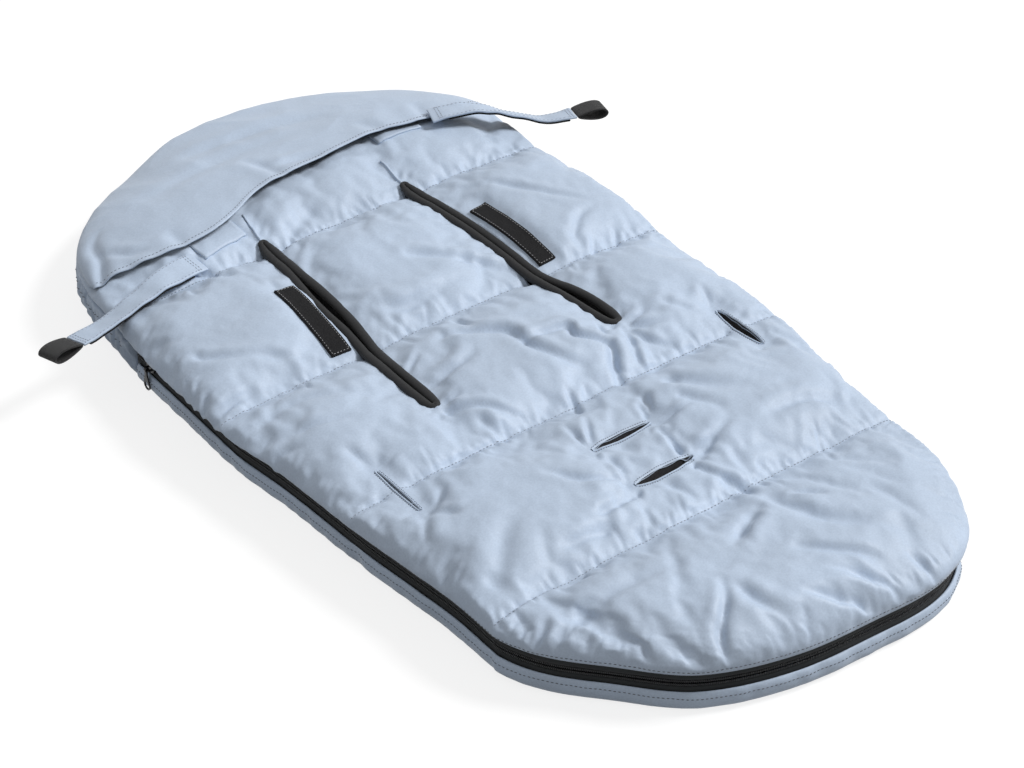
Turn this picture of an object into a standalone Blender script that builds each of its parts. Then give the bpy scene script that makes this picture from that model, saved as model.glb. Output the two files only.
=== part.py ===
"""Stroller footmuff, lying face down: quilted back with harness slits, seat pocket, zip and front cover.

Frame: metres, +Z up, +Y towards the head end, +X to the right seen from above with the head away.
The front cover lies on the floor at z = 0 and the quilted back that faces the seat is on top.
"""

import math

import bmesh
import bpy
from mathutils import Vector

for old in list(bpy.data.objects):
    bpy.data.objects.remove(old, do_unlink=True)

# Overall size
MUFF_LENGTH = 0.925
BODY_WIDTH = 0.488
FOOT_Y = -MUFF_LENGTH / 2

# Cross seams of the back, as shares of the length from the foot
SEAM_SHARES = (0.1773, 0.36108, 0.54054, 0.73405, 0.84216)
SEAMS = tuple(FOOT_Y + MUFF_LENGTH * share for share in SEAM_SHARES)
SEAM_FOOT, SEAM_LEG, SEAM_HIP, SEAM_BACK, SEAM_HEAD = SEAMS
COVER_SEAMS = (SEAM_FOOT, SEAM_LEG, SEAM_HIP)
FOOT_CHANNEL = SEAM_FOOT - FOOT_Y
BACK_CHANNEL = SEAM_BACK - SEAM_HIP

# Plan outline: half width along the sides, rounded foot and head
HEAD_PAST_SEAM = 0.0065
HEAD_BASE = SEAM_BACK + HEAD_PAST_SEAM
HEAD_ROUND = MUFF_LENGTH / 2 - HEAD_BASE
FOOT_POWER = 2.15
HEAD_POWER = 2.25
SIDE_WIDTH_SHARES = (
    (0.000, 0.871), (0.097, 0.882), (0.188, 0.910), (0.326, 0.950), (0.515, 0.969),
    (0.644, 0.987), (0.738, 1.000), (0.880, 0.988), (1.000, 0.961),
)
FOOT_SWAY = 0.034
FOOT_SWAY_POWER = 2.5

# How the muff was laid down: its middle line leans, its two ends are pushed out of round, its head sinks
LEAN_SHARES = (
    (0.177, -0.008), (0.290, -0.005), (0.392, -0.007), (0.470, -0.016), (0.530, -0.0262), (0.555, -0.0265),
    (0.620, -0.0265), (0.700, -0.0265), (0.720, -0.0265), (0.824, -0.010), (0.954, 0.000),
)
FOOT_REACH_SHARES = (
    (0.00, 1.000), (0.14, 1.020), (0.28, 1.065), (0.42, 1.000), (0.56, 0.990), (0.72, 0.968), (0.86, 0.900),
    (1.00, 1.000),
)
HEAD_REACH_SHARES = (
    (0.00, 1.000), (0.14, 1.015), (0.28, 1.005), (0.42, 1.000), (0.55, 0.995), (0.66, 0.945), (0.78, 0.980),
    (0.88, 1.020), (1.00, 1.000),
)
HEAD_SINK_SHARE = 0.28
HEAD_SINK_START = 0.0540

# The frame's origin lies under the middle of the whole, so everything is laid this far from the middle line
LAID_X = 0.0054
LAID_Y = 0.0013

# Heights
ZIP_HEIGHT = 0.0295
BACK_EDGE_LOW = 0.0428
BACK_EDGE_TOP = 0.0510
SEAM_TOP = 0.0580
CROWN = 0.0145
CROWN_REACH = 0.062
EDGE_POWER = 5.0
NODE_GAP = 0.0003
PANEL_CELLS = (26, 13)
SIDE_CELLS = 9
SHADE_ANGLE = math.radians(50.0)

# Front cover, which lies on the floor
COVER_TOP_DOWN = 0.0205
COVER_TOP_Y = SEAM_BACK - COVER_TOP_DOWN
COVER_THICKNESS = 0.0182
COVER_RIM_TOP = 0.0167
COVER_SEAM_RISE = 0.0060
COVER_BULGE = 0.0045
COVER_CUT = 0.0005
COVER_RIM_RISE = 0.0070
COVER_CELLS = (18, 26)
CUFF_CELLS = (12, 6)
LINING_THICKNESS = 0.0022
LINING_INSET = 0.009
LINING_CELLS = (16, 27)

# Zip: two tapes with a coil each, a slot between them for the slider's neck
ZIP_SLOT = 0.0014
COIL_SIZE = 0.0023
TAPE_THICKNESS = 0.0008
TAPE_LOW = COVER_RIM_TOP + NODE_GAP
TAPE_HIGH = BACK_EDGE_LOW - NODE_GAP
ZIP_TOP_CLEAR = 0.001
ZIP_TOP_Y = COVER_TOP_Y - ZIP_TOP_CLEAR
ZIP_STRAIGHT_DOWN = 0.0075
ZIP_STRAIGHT_Y = SEAM_HIP - ZIP_STRAIGHT_DOWN
ZIP_SIDE_INSET = 0.012
ZIP_FOOT_INSET = 0.0030
ZIP_STEPS = 58

# Sliders and pulls
SLIDER_DOWN = 0.025
SLIDER_Y = ZIP_TOP_Y - SLIDER_DOWN
SLIDER_LENGTH = 0.0120
SLIDER_HEIGHT = 0.0095
SLIDER_NOSE_SHARE = 0.55
PLATE_THICKNESS = 0.0012
PLATE_GAP = 0.0030
NECK_LENGTH = 0.0036
NECK_THICKNESS = 0.0008
BRIDGE_BAR = 0.0016
BRIDGE_LENGTH = 0.0078
BRIDGE_RISE = 0.0037
EYE_BORE = 0.0028
EYE_WALL = 0.0009
EYE_WIDTH = 0.0030
PULL_STEM = 0.0110
PULL_STEM_WIDTH = 0.0036
PULL_TAB_WIDTH = 0.0078
PULL_THICKNESS = 0.0014
PULL_OUT = 0.0008
RING_WIDTH = 0.0100
RING_LENGTH = 0.0105
RING_WALL = 0.0014
EYE_SIDES = 16
RING_SIDES = 20

# Harness slits, with black padded lips
SLIT_PAST_SEAM = 0.0170
SLIT_TOP_Y = SEAM_BACK + SLIT_PAST_SEAM
SLIT_UNDER_SEAM = 0.1060
SLIT_LOW_Y = SEAM_HIP - SLIT_UNDER_SEAM
SLIT_PATH_SHARES = ((0.00, 1.000), (0.19, 0.975), (0.42, 0.905), (0.63, 0.875), (0.85, 0.825), (1.00, 0.800))
SLIT_LOW_X = 0.0986
LIP_RADIUS = 0.0035
SLIT_OPEN = 0.0072
SLIT_DIP = 0.0045
SLIT_DIP_REACH = 0.022
LIP_SINK = 0.0015
LIP_STEPS = 22
END_STEPS = 5

# Hip slits and crotch slits, with thin piped lips
HIP_X = 0.184
HIP_UNDER_SEAM = 0.0015
HIP_Y = SEAM_LEG - HIP_UNDER_SEAM
HIP_LENGTH = 0.060
CROTCH_X = 0.0
CROTCH_UNDER_SEAM = 0.062
CROTCH_STEP = 0.057
CROTCH_REAR_Y = SEAM_LEG - CROTCH_UNDER_SEAM
CROTCH_FRONT_Y = CROTCH_REAR_Y - CROTCH_STEP
CROTCH_LENGTH = 0.060
WELT_RADIUS = 0.0016
SMALL_OPEN = 0.0050
SMALL_DIP = 0.0040
SMALL_DIP_REACH = 0.016
WELT_STEPS = 5
OVERRUN = 0.004

# Hook patches beside the harness slits
PATCH_LENGTH = 0.100
PATCH_WIDTH = 0.019
PATCH_THICKNESS = 0.0016
PATCH_PAST_SEAM = 0.0095
PATCH_LOW_Y = SEAM_HIP + PATCH_PAST_SEAM
PATCH_CLEAR = 0.0025
PATCH_STEPS = 8
LAY_GAP = 0.0009

# Seat pocket over the head end; the hem is given from its left corner to its right one
HEM_PAST_SEAM = 0.0295
HEM_LOW_Y = SEAM_BACK + HEM_PAST_SEAM
HEM_SPAN = 0.056
HEM_SHARES = (
    (-1.00, 0.36), (-0.82, 0.14), (-0.65, 0.03), (-0.50, 0.06), (-0.38, 0.25), (-0.22, 0.59),
    (0.00, 0.72), (0.19, 0.80), (0.41, 0.89), (0.58, 0.77), (0.79, 0.78), (1.00, 1.00),
)
POCKET_THICKNESS = 0.0024
POCKET_LIFT = 0.0120
POCKET_EDGE_POWER = 3.0
POCKET_EDGE_GAP = 0.0020
HEAD_INSET = 0.0080
POCKET_EDGE_INSET = 0.0025
POCKET_CELLS = (22, 12)
POCKET_FOLD_HEIGHT = 0.0040
POCKET_FOLD_WIDTH = 0.014
POCKET_FOLD_SHARES = ((-0.70, 0.10, -0.80, 0.62), (0.02, 0.30, 0.42, 0.62), (-0.38, 0.16, -0.10, 0.42))

# Hood rim, a gathered tunnel from one zip top round the head to the other
RIM_HEIGHT = BACK_EDGE_LOW - NODE_GAP
RIM_THICKNESS = 0.013
RIM_END_SHARE = 0.6
RIM_BULGE = 0.0035
RIM_TUCK = 0.010
RIM_RUFFLE = 0.0012
RIM_RUFFLES = 30
RIM_CELLS = (5, 84)
RIM_START_CLEAR = 0.0035
RIM_LOW_Y = COVER_TOP_Y + RIM_START_CLEAR

# Straps at the head end, laid out a little askew as the head end was
STRAP_ROOT_X = 0.1455
STRAP_SHIFT = 0.0031
STRAP_PAST_SEAM = 0.0425
STRAP_ROOT_Y = SEAM_BACK + STRAP_PAST_SEAM
STRAP_SKEW = 0.18
STRAP_SLANT = math.radians(15.0)
STRAP_TURN = math.radians(5.0)
STRAP_WIDTH = 0.0255
STRAP_THICKNESS = 0.0022
STRAP_LENGTH = 0.146
STRAP_END_Z = 0.0590
STRAP_LIFT = 0.0030
STRAP_DROP_SHARES = (
    (0.0, 0.0), (0.22, 0.0), (0.36, 0.14), (0.52, 0.48), (0.70, 0.86), (0.84, 1.02), (1.0, 1.0),
)
STRAP_LIFT_SHARES = ((0.0, 0.0), (0.1, 0.6), (0.25, 1.0), (0.5, 0.6), (0.75, 0.0), (1.0, 0.0))
HOOK_TAPE_THICKNESS = 0.0018
HOOK_TAPE_START = 0.016
HOOK_TAPE_END = 0.007
LOOP_LENGTH = 0.030
LOOP_HEIGHT = 0.0140
LOOP_THICKNESS = 0.0014
LOOP_WIDTH = 0.0245
STRIP_LENGTH = 0.050
STRIP_WIDTH = 0.023
STRIP_THICKNESS = 0.0020
STRIP_X = 0.0890
STRIP_PAST_SEAM = 0.0605
STRIP_Y = SEAM_BACK + STRIP_PAST_SEAM
STRIP_SKEW = 0.24
STRIP_TURN = math.radians(6.0)
STRIP_STEPS = 5
STRAP_SEAT_GAP = 0.0002
STRAP_CELLS = 14
LOOP_CELLS = 18
LOOP_ROOT_SHARE = 0.40

MODEL = bpy.data.collections.new("stroller_footmuff")
CUTTERS = bpy.data.collections.new("cutters")
bpy.context.scene.collection.children.link(MODEL)
bpy.context.scene.collection.children.link(CUTTERS)


def make_material(name, color, roughness, metallic=0.0):
    material = bpy.data.materials.new(name)
    material.use_nodes = True
    shader = material.node_tree.nodes["Principled BSDF"]
    shader.inputs["Base Color"].default_value = (*color, 1.0)
    shader.inputs["Roughness"].default_value = roughness
    shader.inputs["Metallic"].default_value = metallic
    material.diffuse_color = (*color, 1.0)
    return material


SHELL = make_material("shell_fabric", (0.52, 0.58, 0.68), 0.55)
LINING = make_material("lining_fabric", (0.03, 0.03, 0.034), 0.9)
TAPE = make_material("zip_tape", (0.020, 0.022, 0.025), 0.8)
COIL = make_material("zip_coil", (0.018, 0.020, 0.022), 0.4)
SLIDER = make_material("zip_slider", (0.03, 0.03, 0.03), 0.35, 0.8)
HOOK = make_material("hook_tape", (0.022, 0.022, 0.024), 0.95)
WEBBING = make_material("webbing", (0.025, 0.025, 0.027), 0.85)


def smooth_table(table, t):
    """Value at t of a curve through the table's points, with a tangent at each from its neighbours."""
    last = len(table) - 1
    t = min(max(t, table[0][0]), table[last][0])
    k = 0
    while k < last - 1 and t > table[k + 1][0]:
        k += 1
    x0, y0 = table[k]
    x1, y1 = table[k + 1]
    xa, ya = table[max(k - 1, 0)]
    xb, yb = table[min(k + 2, last)]
    slope0 = (y1 - ya) / (x1 - xa)
    slope1 = (yb - y0) / (xb - x0)
    span = x1 - x0
    s = (t - x0) / span
    rest = 1 - s
    return (
        y0 * (1 + 2 * s) * rest ** 2 + y1 * (3 - 2 * s) * s ** 2
        + slope0 * span * s * rest ** 2 - slope1 * span * s ** 2 * rest
    )


def half_width(y):
    """Half width of the muff at y."""
    half = BODY_WIDTH / 2
    if y < SEAM_FOOT:
        depth = min((SEAM_FOOT - y) / FOOT_CHANNEL, 1.0)
        return half * SIDE_WIDTH_SHARES[0][1] * (1 - depth ** FOOT_POWER) ** (1 / FOOT_POWER)
    if y > HEAD_BASE:
        depth = min((y - HEAD_BASE) / HEAD_ROUND, 1.0)
        return half * SIDE_WIDTH_SHARES[-1][1] * (1 - depth ** HEAD_POWER) ** (1 / HEAD_POWER)
    along = (y - SEAM_FOOT) / (HEAD_BASE - SEAM_FOOT)
    return half * smooth_table(SIDE_WIDTH_SHARES, along)


def sway(y):
    """How far the middle line leans to the right at the foot, where the muff was laid a little askew."""
    depth = min(max((SEAM_FOOT - y) / FOOT_CHANNEL, 0.0), 1.0)
    return FOOT_SWAY * depth ** FOOT_SWAY_POWER


def half_disc(u, v, power):
    """Grid point of a half disc with a superellipse rim: v = 0 is its straight side, v = 1 its far rim."""
    x = u * math.sqrt(1 - v * v / 2)
    y = v * math.sqrt(1 - u * u / 2)
    radius = math.hypot(x, y)
    if radius == 0:
        return 0.0, 0.0
    c = abs(x) / radius
    s = abs(y) / radius
    reach = (c ** power + s ** power) ** (-1 / power)
    return x * reach, y * reach


def edge_share(x, y):
    """0 on the middle line, 1 on the outline."""
    if y < SEAM_FOOT:
        across = abs(x - sway(y)) / (BODY_WIDTH / 2 * SIDE_WIDTH_SHARES[0][1])
        depth = (SEAM_FOOT - y) / FOOT_CHANNEL
        return min((across ** FOOT_POWER + depth ** FOOT_POWER) ** (1 / FOOT_POWER), 1.0)
    if y > HEAD_BASE:
        across = abs(x) / (BODY_WIDTH / 2 * SIDE_WIDTH_SHARES[-1][1])
        depth = (y - HEAD_BASE) / HEAD_ROUND
        return min((across ** HEAD_POWER + depth ** HEAD_POWER) ** (1 / HEAD_POWER), 1.0)
    return min(abs(x) / half_width(y), 1.0)


def slit_x(y):
    """Distance of a harness slit's middle line from the centre at y."""
    along = (y - SLIT_LOW_Y) / (SLIT_TOP_Y - SLIT_LOW_Y)
    return SLIT_LOW_X * smooth_table(SLIT_PATH_SHARES, along)


def bell(distance, reach):
    return math.exp(-((distance / reach) ** 2))


def slit_dip(x, y):
    """How far the top is drawn down beside the slits."""
    past = max(SLIT_LOW_Y - y, y - SLIT_TOP_Y, 0.0)
    dip = SLIT_DIP * bell(abs(x) - slit_x(y), SLIT_DIP_REACH) * bell(past, SLIT_DIP_REACH)
    past = max(abs(y - HIP_Y) - HIP_LENGTH / 2, 0.0)
    dip += SMALL_DIP * bell(abs(x) - HIP_X, SMALL_DIP_REACH) * bell(past, SMALL_DIP_REACH)
    for crotch_y in (CROTCH_FRONT_Y, CROTCH_REAR_Y):
        past = max(abs(x - CROTCH_X) - CROTCH_LENGTH / 2, 0.0)
        dip += SMALL_DIP * bell(y - crotch_y, SMALL_DIP_REACH) * bell(past, SMALL_DIP_REACH)
    return dip


def crown(y):
    """0 at a cross seam, 1 in the middle of a channel."""
    nearest = min(abs(y - seam) for seam in SEAMS)
    rest = 1 - min(nearest / CROWN_REACH, 1.0)
    return math.sqrt(1 - rest ** 2)


def panel_top(x, y):
    """Height of the quilted back's upper surface."""
    edge = math.sqrt(1 - edge_share(x, y) ** EDGE_POWER)
    inner = SEAM_TOP + CROWN * crown(y) - slit_dip(x, y)
    return BACK_EDGE_TOP + (inner - BACK_EDGE_TOP) * edge


def lay(place):
    """Where a point of the straight muff comes to lie."""
    x, y, z = place
    edge = edge_share(x, y) ** 2
    reach = 1.0
    sink = 0.0
    along = (y - FOOT_Y) / MUFF_LENGTH
    lean = BODY_WIDTH * smooth_table(LEAN_SHARES, along) * (1 + edge) / 2
    base = y
    if y < SEAM_FOOT:
        base = SEAM_FOOT
        turn = math.atan2(SEAM_FOOT - y, x) / math.pi
        reach += (smooth_table(FOOT_REACH_SHARES, turn) - 1) * edge
    elif y > HEAD_BASE:
        base = HEAD_BASE
        turn = math.atan2(y - HEAD_BASE, x) / math.pi
        reach += (smooth_table(HEAD_REACH_SHARES, turn) - 1) * edge
        start = SEAM_BACK + HEAD_SINK_START
        down = min(max((y - start) / (MUFF_LENGTH / 2 - start), 0.0), 1.0)
        sink = HEAD_SINK_SHARE * down * down * (3 - 2 * down)
    return Vector((x * reach + lean + LAID_X, base + (y - base) * reach + LAID_Y, z * (1 - sink)))


def link(obj, material, home):
    if obj.name not in MODEL.objects:
        MODEL.objects.link(obj)
    obj.data.materials.clear()
    obj.data.materials.append(material)
    if home is not None:
        obj.parent = home
        obj.matrix_parent_inverse = home.matrix_world.inverted()
    return obj


def make_home(name, place):
    """Empty on a joint's axis, which carries the pieces of the body that turns or slides there."""
    home = bpy.data.objects.new(name, None)
    home.location = place
    home.empty_display_size = STRAP_WIDTH
    MODEL.objects.link(home)
    bpy.context.view_layer.update()
    return home


def padded_body(name, cells, outer, inner):
    """Closed body between two surfaces, each given as a point for u in -1..1 and v in 0..1."""
    mesh = bpy.data.meshes.new(name)
    work = bmesh.new()
    bmesh.ops.create_grid(work, x_segments=cells[0], y_segments=cells[1], size=1.0)
    low = {vert for vert in work.verts}
    bmesh.ops.extrude_face_region(work, geom=list(work.faces))
    for vert in work.verts:
        u = vert.co.x
        v = (vert.co.y + 1) / 2
        surface = inner if vert in low else outer
        vert.co = lay(surface(u, v))
    bmesh.ops.recalc_face_normals(work, faces=work.faces)
    work.to_mesh(mesh)
    work.free()
    mesh.shade_smooth()
    mesh.set_sharp_from_angle(angle=SHADE_ANGLE)
    return bpy.data.objects.new(name, mesh)


def cut(obj, cutter):
    modifier = obj.modifiers.new("cut_" + cutter.name, "BOOLEAN")
    modifier.operation = "DIFFERENCE"
    modifier.object = cutter


def panel_place(x, y, low):
    """Point of the back panel; its lower rim is drawn in to the zip."""
    edge = edge_share(x, y)
    if not low:
        return (x, y, panel_top(x, y))
    pull = zip_inset(y) * edge ** EDGE_POWER
    scale = 1 - pull / (BODY_WIDTH / 2)
    mid = sway(y)
    y_low = SEAM_FOOT + (y - SEAM_FOOT) * scale if y < SEAM_FOOT else y
    return (mid + (x - mid) * scale, y_low, BACK_EDGE_LOW)


def zip_inset(y):
    """How far the zip lies inside the outline: little at the foot, more along the sides."""
    rise = min(max((y - FOOT_Y) / (ZIP_STRAIGHT_Y - FOOT_Y), 0.0), 1.0)
    return ZIP_FOOT_INSET + (ZIP_SIDE_INSET - ZIP_FOOT_INSET) * rise


def zip_path(share):
    """Plan point of the zip for a share of its run: left top, round the foot, right top."""
    side_run = ZIP_TOP_Y - SEAM_FOOT
    arc_share = FOOT_CHANNEL * math.pi / (FOOT_CHANNEL * math.pi + 2 * side_run)
    side_share = (1 - arc_share) / 2
    straight = half_width(ZIP_STRAIGHT_Y) - ZIP_SIDE_INSET

    def side_x(y):
        if y > ZIP_STRAIGHT_Y:
            return straight
        return half_width(y) - zip_inset(y)

    if share < side_share or share > 1 - side_share:
        right = share > 0.5
        down = (1 - share) / side_share if right else share / side_share
        y = ZIP_TOP_Y - side_run * down
        return Vector(((1 if right else -1) * side_x(y), y))
    angle = (share - side_share) / arc_share * math.pi
    c = -math.cos(angle)
    s = math.sin(angle)
    reach = (abs(c) ** FOOT_POWER + s ** FOOT_POWER) ** (-1 / FOOT_POWER)
    y_depth = (FOOT_CHANNEL - ZIP_FOOT_INSET) * s * reach
    y = SEAM_FOOT - y_depth
    x = side_x(SEAM_FOOT) * c * reach
    return Vector((x + sway(y), y))


def path_normals(points):
    """Outward direction in plan at each point of an open path that runs with the outside on its right."""
    normals = []
    for k in range(len(points)):
        step = points[min(k + 1, len(points) - 1)] - points[max(k - 1, 0)]
        step.normalize()
        normals.append(Vector((step.y, -step.x)))
    return normals


def band(name, points, normals, low, high, thickness):
    """Upright band along a plan path, closed by a rectangular section."""

    def surface(side):
        def place(u, v):
            k = round(v * (len(points) - 1))
            spot = points[k] + normals[k] * side * thickness / 2
            return (spot.x, spot.y, high if u > 0 else low)

        return place

    return padded_body(name, (1, len(points) - 1), surface(1), surface(-1))


# Foot of the zip, about which the back folds open
ZIP_POINTS = [zip_path(k / ZIP_STEPS) for k in range(ZIP_STEPS + 1)]
ZIP_LAST_Y = min(lay((point.x, point.y, ZIP_HEIGHT)).y for point in ZIP_POINTS)
FOLD_Y = ZIP_LAST_Y - COIL_SIZE / 2 - NODE_GAP
FOLD_HOME = make_home("fold_axis", (FOOT_SWAY, FOLD_Y, ZIP_HEIGHT))


def front_cover():
    """The cover over the child, face down: a quilted shell, its lining and the cuff at its free edge."""
    straight = COVER_TOP_Y - SEAM_FOOT

    def plan(u, v, grow):
        foot_share = FOOT_CHANNEL / (FOOT_CHANNEL + straight)
        if v < foot_share:
            x, y = half_disc(u, 1 - v / foot_share, FOOT_POWER)
            wide = half_width(SEAM_FOOT) - zip_inset(SEAM_FOOT) + grow
            deep = FOOT_CHANNEL - ZIP_FOOT_INSET + grow
            y_row = SEAM_FOOT - deep * y
            return wide * x + sway(y_row), y_row
        y = SEAM_FOOT + straight * (v - foot_share) / (1 - foot_share)
        inset = zip_inset(y)
        wide = min(half_width(y), half_width(ZIP_STRAIGHT_Y)) - inset + grow
        return wide * u, y

    def rim(x, y, grow):
        if y < SEAM_FOOT:
            wide = half_width(SEAM_FOOT) - zip_inset(SEAM_FOOT) + grow
            deep = FOOT_CHANNEL - ZIP_FOOT_INSET + grow
            across = abs(x - sway(y)) / wide
            depth = (SEAM_FOOT - y) / deep
            return min((across ** FOOT_POWER + depth ** FOOT_POWER) ** (1 / FOOT_POWER), 1.0)
        wide = min(half_width(y), half_width(ZIP_STRAIGHT_Y)) - zip_inset(y) + grow
        return min(abs(x) / wide, 1.0)

    def shell_top(u, v):
        x, y = plan(u, v, COVER_BULGE - COVER_CUT)
        edge = rim(x, y, COVER_BULGE) ** EDGE_POWER
        return (x, y, COVER_THICKNESS + (COVER_RIM_TOP - COVER_THICKNESS) * edge)

    def shell_under(u, v):
        x, y = plan(u, v, 0.0)
        edge = rim(x, y, 0.0) ** EDGE_POWER
        nearest = min(abs(y - seam) for seam in COVER_SEAMS)
        drawn = COVER_SEAM_RISE * bell(nearest, COVER_THICKNESS)
        return (x, y, max(drawn + COVER_RIM_RISE * edge - COVER_CUT, 0.0))

    shell = padded_body("front_shell", COVER_CELLS, shell_top, shell_under)
    link(shell, SHELL, None)

    def lining_face(lift):
        def place(u, v):
            x, y = plan(u, v, -LINING_INSET)
            return (x, y - LINING_INSET * v, COVER_THICKNESS + NODE_GAP + lift)

        return place

    lining = padded_body("front_lining", LINING_CELLS, lining_face(LINING_THICKNESS), lining_face(0.0))
    link(lining, LINING, None)

    cuff_wide = half_width(COVER_TOP_Y) - RIM_TUCK - RIM_THICKNESS - COVER_BULGE
    cuff_start = COVER_TOP_Y + NODE_GAP
    cuff_depth = RIM_THICKNESS

    def cuff_face(top):
        def place(u, v):
            swell = 1 - (2 * v - 1) ** 2
            z = COVER_RIM_TOP * (1 + swell) / 2 if top else COVER_RIM_RISE * (1 - swell) / 2
            return (cuff_wide * u, cuff_start + cuff_depth * v, z)

        return place

    cuff = padded_body("cover_cuff", CUFF_CELLS, cuff_face(True), cuff_face(False))
    link(cuff, SHELL, None)


def zip_halves():
    """Two tapes with a coil row each; the lower pair is sewn to the cover, the upper pair to the back."""
    normals = path_normals(ZIP_POINTS)
    low_coil = ZIP_HEIGHT - ZIP_SLOT / 2
    high_coil = ZIP_HEIGHT + ZIP_SLOT / 2
    rows = (
        ("zip_tape_lower", TAPE_LOW, low_coil - COIL_SIZE - NODE_GAP, TAPE_THICKNESS, TAPE, None),
        ("zip_coil_lower", low_coil - COIL_SIZE, low_coil, COIL_SIZE, COIL, None),
        ("zip_coil_upper", high_coil, high_coil + COIL_SIZE, COIL_SIZE, COIL, FOLD_HOME),
        ("zip_tape_upper", high_coil + COIL_SIZE + NODE_GAP, TAPE_HIGH, TAPE_THICKNESS, TAPE, FOLD_HOME),
    )
    for name, low, high, thickness, material, home in rows:
        link(band(name, ZIP_POINTS, normals, low, high, thickness), material, home)


def slit_outline(middle, turn, length, half_wide, side_steps, path=None):
    """Plan points round a slit with half round ends; path gives the middle line of a slanted one."""
    run = length / 2 - half_wide
    flat = []
    for end in (1, -1):
        for k in range(side_steps):
            flat.append((end * (2 * k / side_steps - 1) * run, end * half_wide))
        for k in range(END_STEPS):
            angle = math.pi * k / END_STEPS
            flat.append((end * (run + half_wide * math.sin(angle)), end * half_wide * math.cos(angle)))
    points = []
    for along, side in flat:
        if turn:
            points.append((middle[0] + along, middle[1] + side))
        else:
            y = middle[1] + along
            points.append(((path(y) if path else middle[0]) + side, y))
    return points


def slit_cutter(name, outline):
    """Upright prism through the back along a slit."""
    mesh = bpy.data.meshes.new(name)
    work = bmesh.new()
    low = [work.verts.new(lay((x, y, ZIP_HEIGHT))) for x, y in outline]
    face = work.faces.new(low)
    grown = bmesh.ops.extrude_face_region(work, geom=[face])
    lift = Vector((0.0, 0.0, SEAM_TOP + CROWN + OVERRUN - ZIP_HEIGHT))
    high = [item for item in grown["geom"] if isinstance(item, bmesh.types.BMVert)]
    bmesh.ops.translate(work, vec=lift, verts=high)
    bmesh.ops.recalc_face_normals(work, faces=work.faces)
    work.to_mesh(mesh)
    work.free()
    cutter = bpy.data.objects.new(name, mesh)
    cutter.hide_render = True
    cutter.display_type = "WIRE"
    CUTTERS.objects.link(cutter)
    return cutter


def lip_ring(name, points, radius, material):
    """Closed padded lip that follows a ring of points."""
    curve = bpy.data.curves.new(name, "CURVE")
    curve.dimensions = "3D"
    curve.bevel_depth = radius
    curve.bevel_resolution = 1
    spline = curve.splines.new("POLY")
    spline.points.add(len(points) - 1)
    for spot, point in zip(spline.points, points):
        spot.co = (*lay(point), 1)
    spline.use_cyclic_u = True
    return link(bpy.data.objects.new(name, curve), material, FOLD_HOME)


def slits():
    """Cutters and lips of the harness, hip and crotch slits; gives the cutters by name."""
    made = {}

    def slit(name, middle, turn, length, opening, radius, sink, material, steps, path=None):
        side = opening / 2 + radius
        grow = radius + NODE_GAP
        ring = slit_outline(middle, turn, length - 2 * radius, side, steps, path)
        lip_ring(name + "_lip", [(x, y, panel_top(x, y) - sink) for x, y in ring], radius, material)
        outline = slit_outline(middle, turn, length - 2 * radius + 2 * grow, side + grow, steps, path)
        made[name] = slit_cutter(name + "_cutter", outline)

    def left_path(y):
        return -slit_x(y)

    middle = (0.0, (SLIT_TOP_Y + SLIT_LOW_Y) / 2)
    length = SLIT_TOP_Y - SLIT_LOW_Y
    for name, path in (("harness_left", left_path), ("harness_right", slit_x)):
        slit(name, middle, False, length, SLIT_OPEN, LIP_RADIUS, LIP_SINK, WEBBING, LIP_STEPS, path)
    for name, x in (("hip_left", -HIP_X), ("hip_right", HIP_X)):
        slit(name, (x, HIP_Y), False, HIP_LENGTH, SMALL_OPEN, WELT_RADIUS, 0.0, SHELL, WELT_STEPS)
    for name, y in (("crotch_front", CROTCH_FRONT_Y), ("crotch_rear", CROTCH_REAR_Y)):
        slit(name, (CROTCH_X, y), True, CROTCH_LENGTH, SMALL_OPEN, WELT_RADIUS, 0.0, SHELL, WELT_STEPS)
    return made


def back_channel(name, low_y, high_y, left, right, across):
    """One padded channel between two cross seams; left and right give its side edges in x at y."""

    def surface(low):
        def place(u, v):
            share = (1 - math.cos(math.pi * v)) / 2
            y = low_y + NODE_GAP / 2 + (high_y - low_y - NODE_GAP) * share
            x = left(y) + (right(y) - left(y)) * (u + 1) / 2
            return panel_place(x, y, low)

        return place

    along = max(round(PANEL_CELLS[1] * (high_y - low_y) / BACK_CHANNEL), 3)
    body = padded_body(name, (across, along), surface(False), surface(True))
    return link(body, SHELL, FOLD_HOME)


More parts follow.
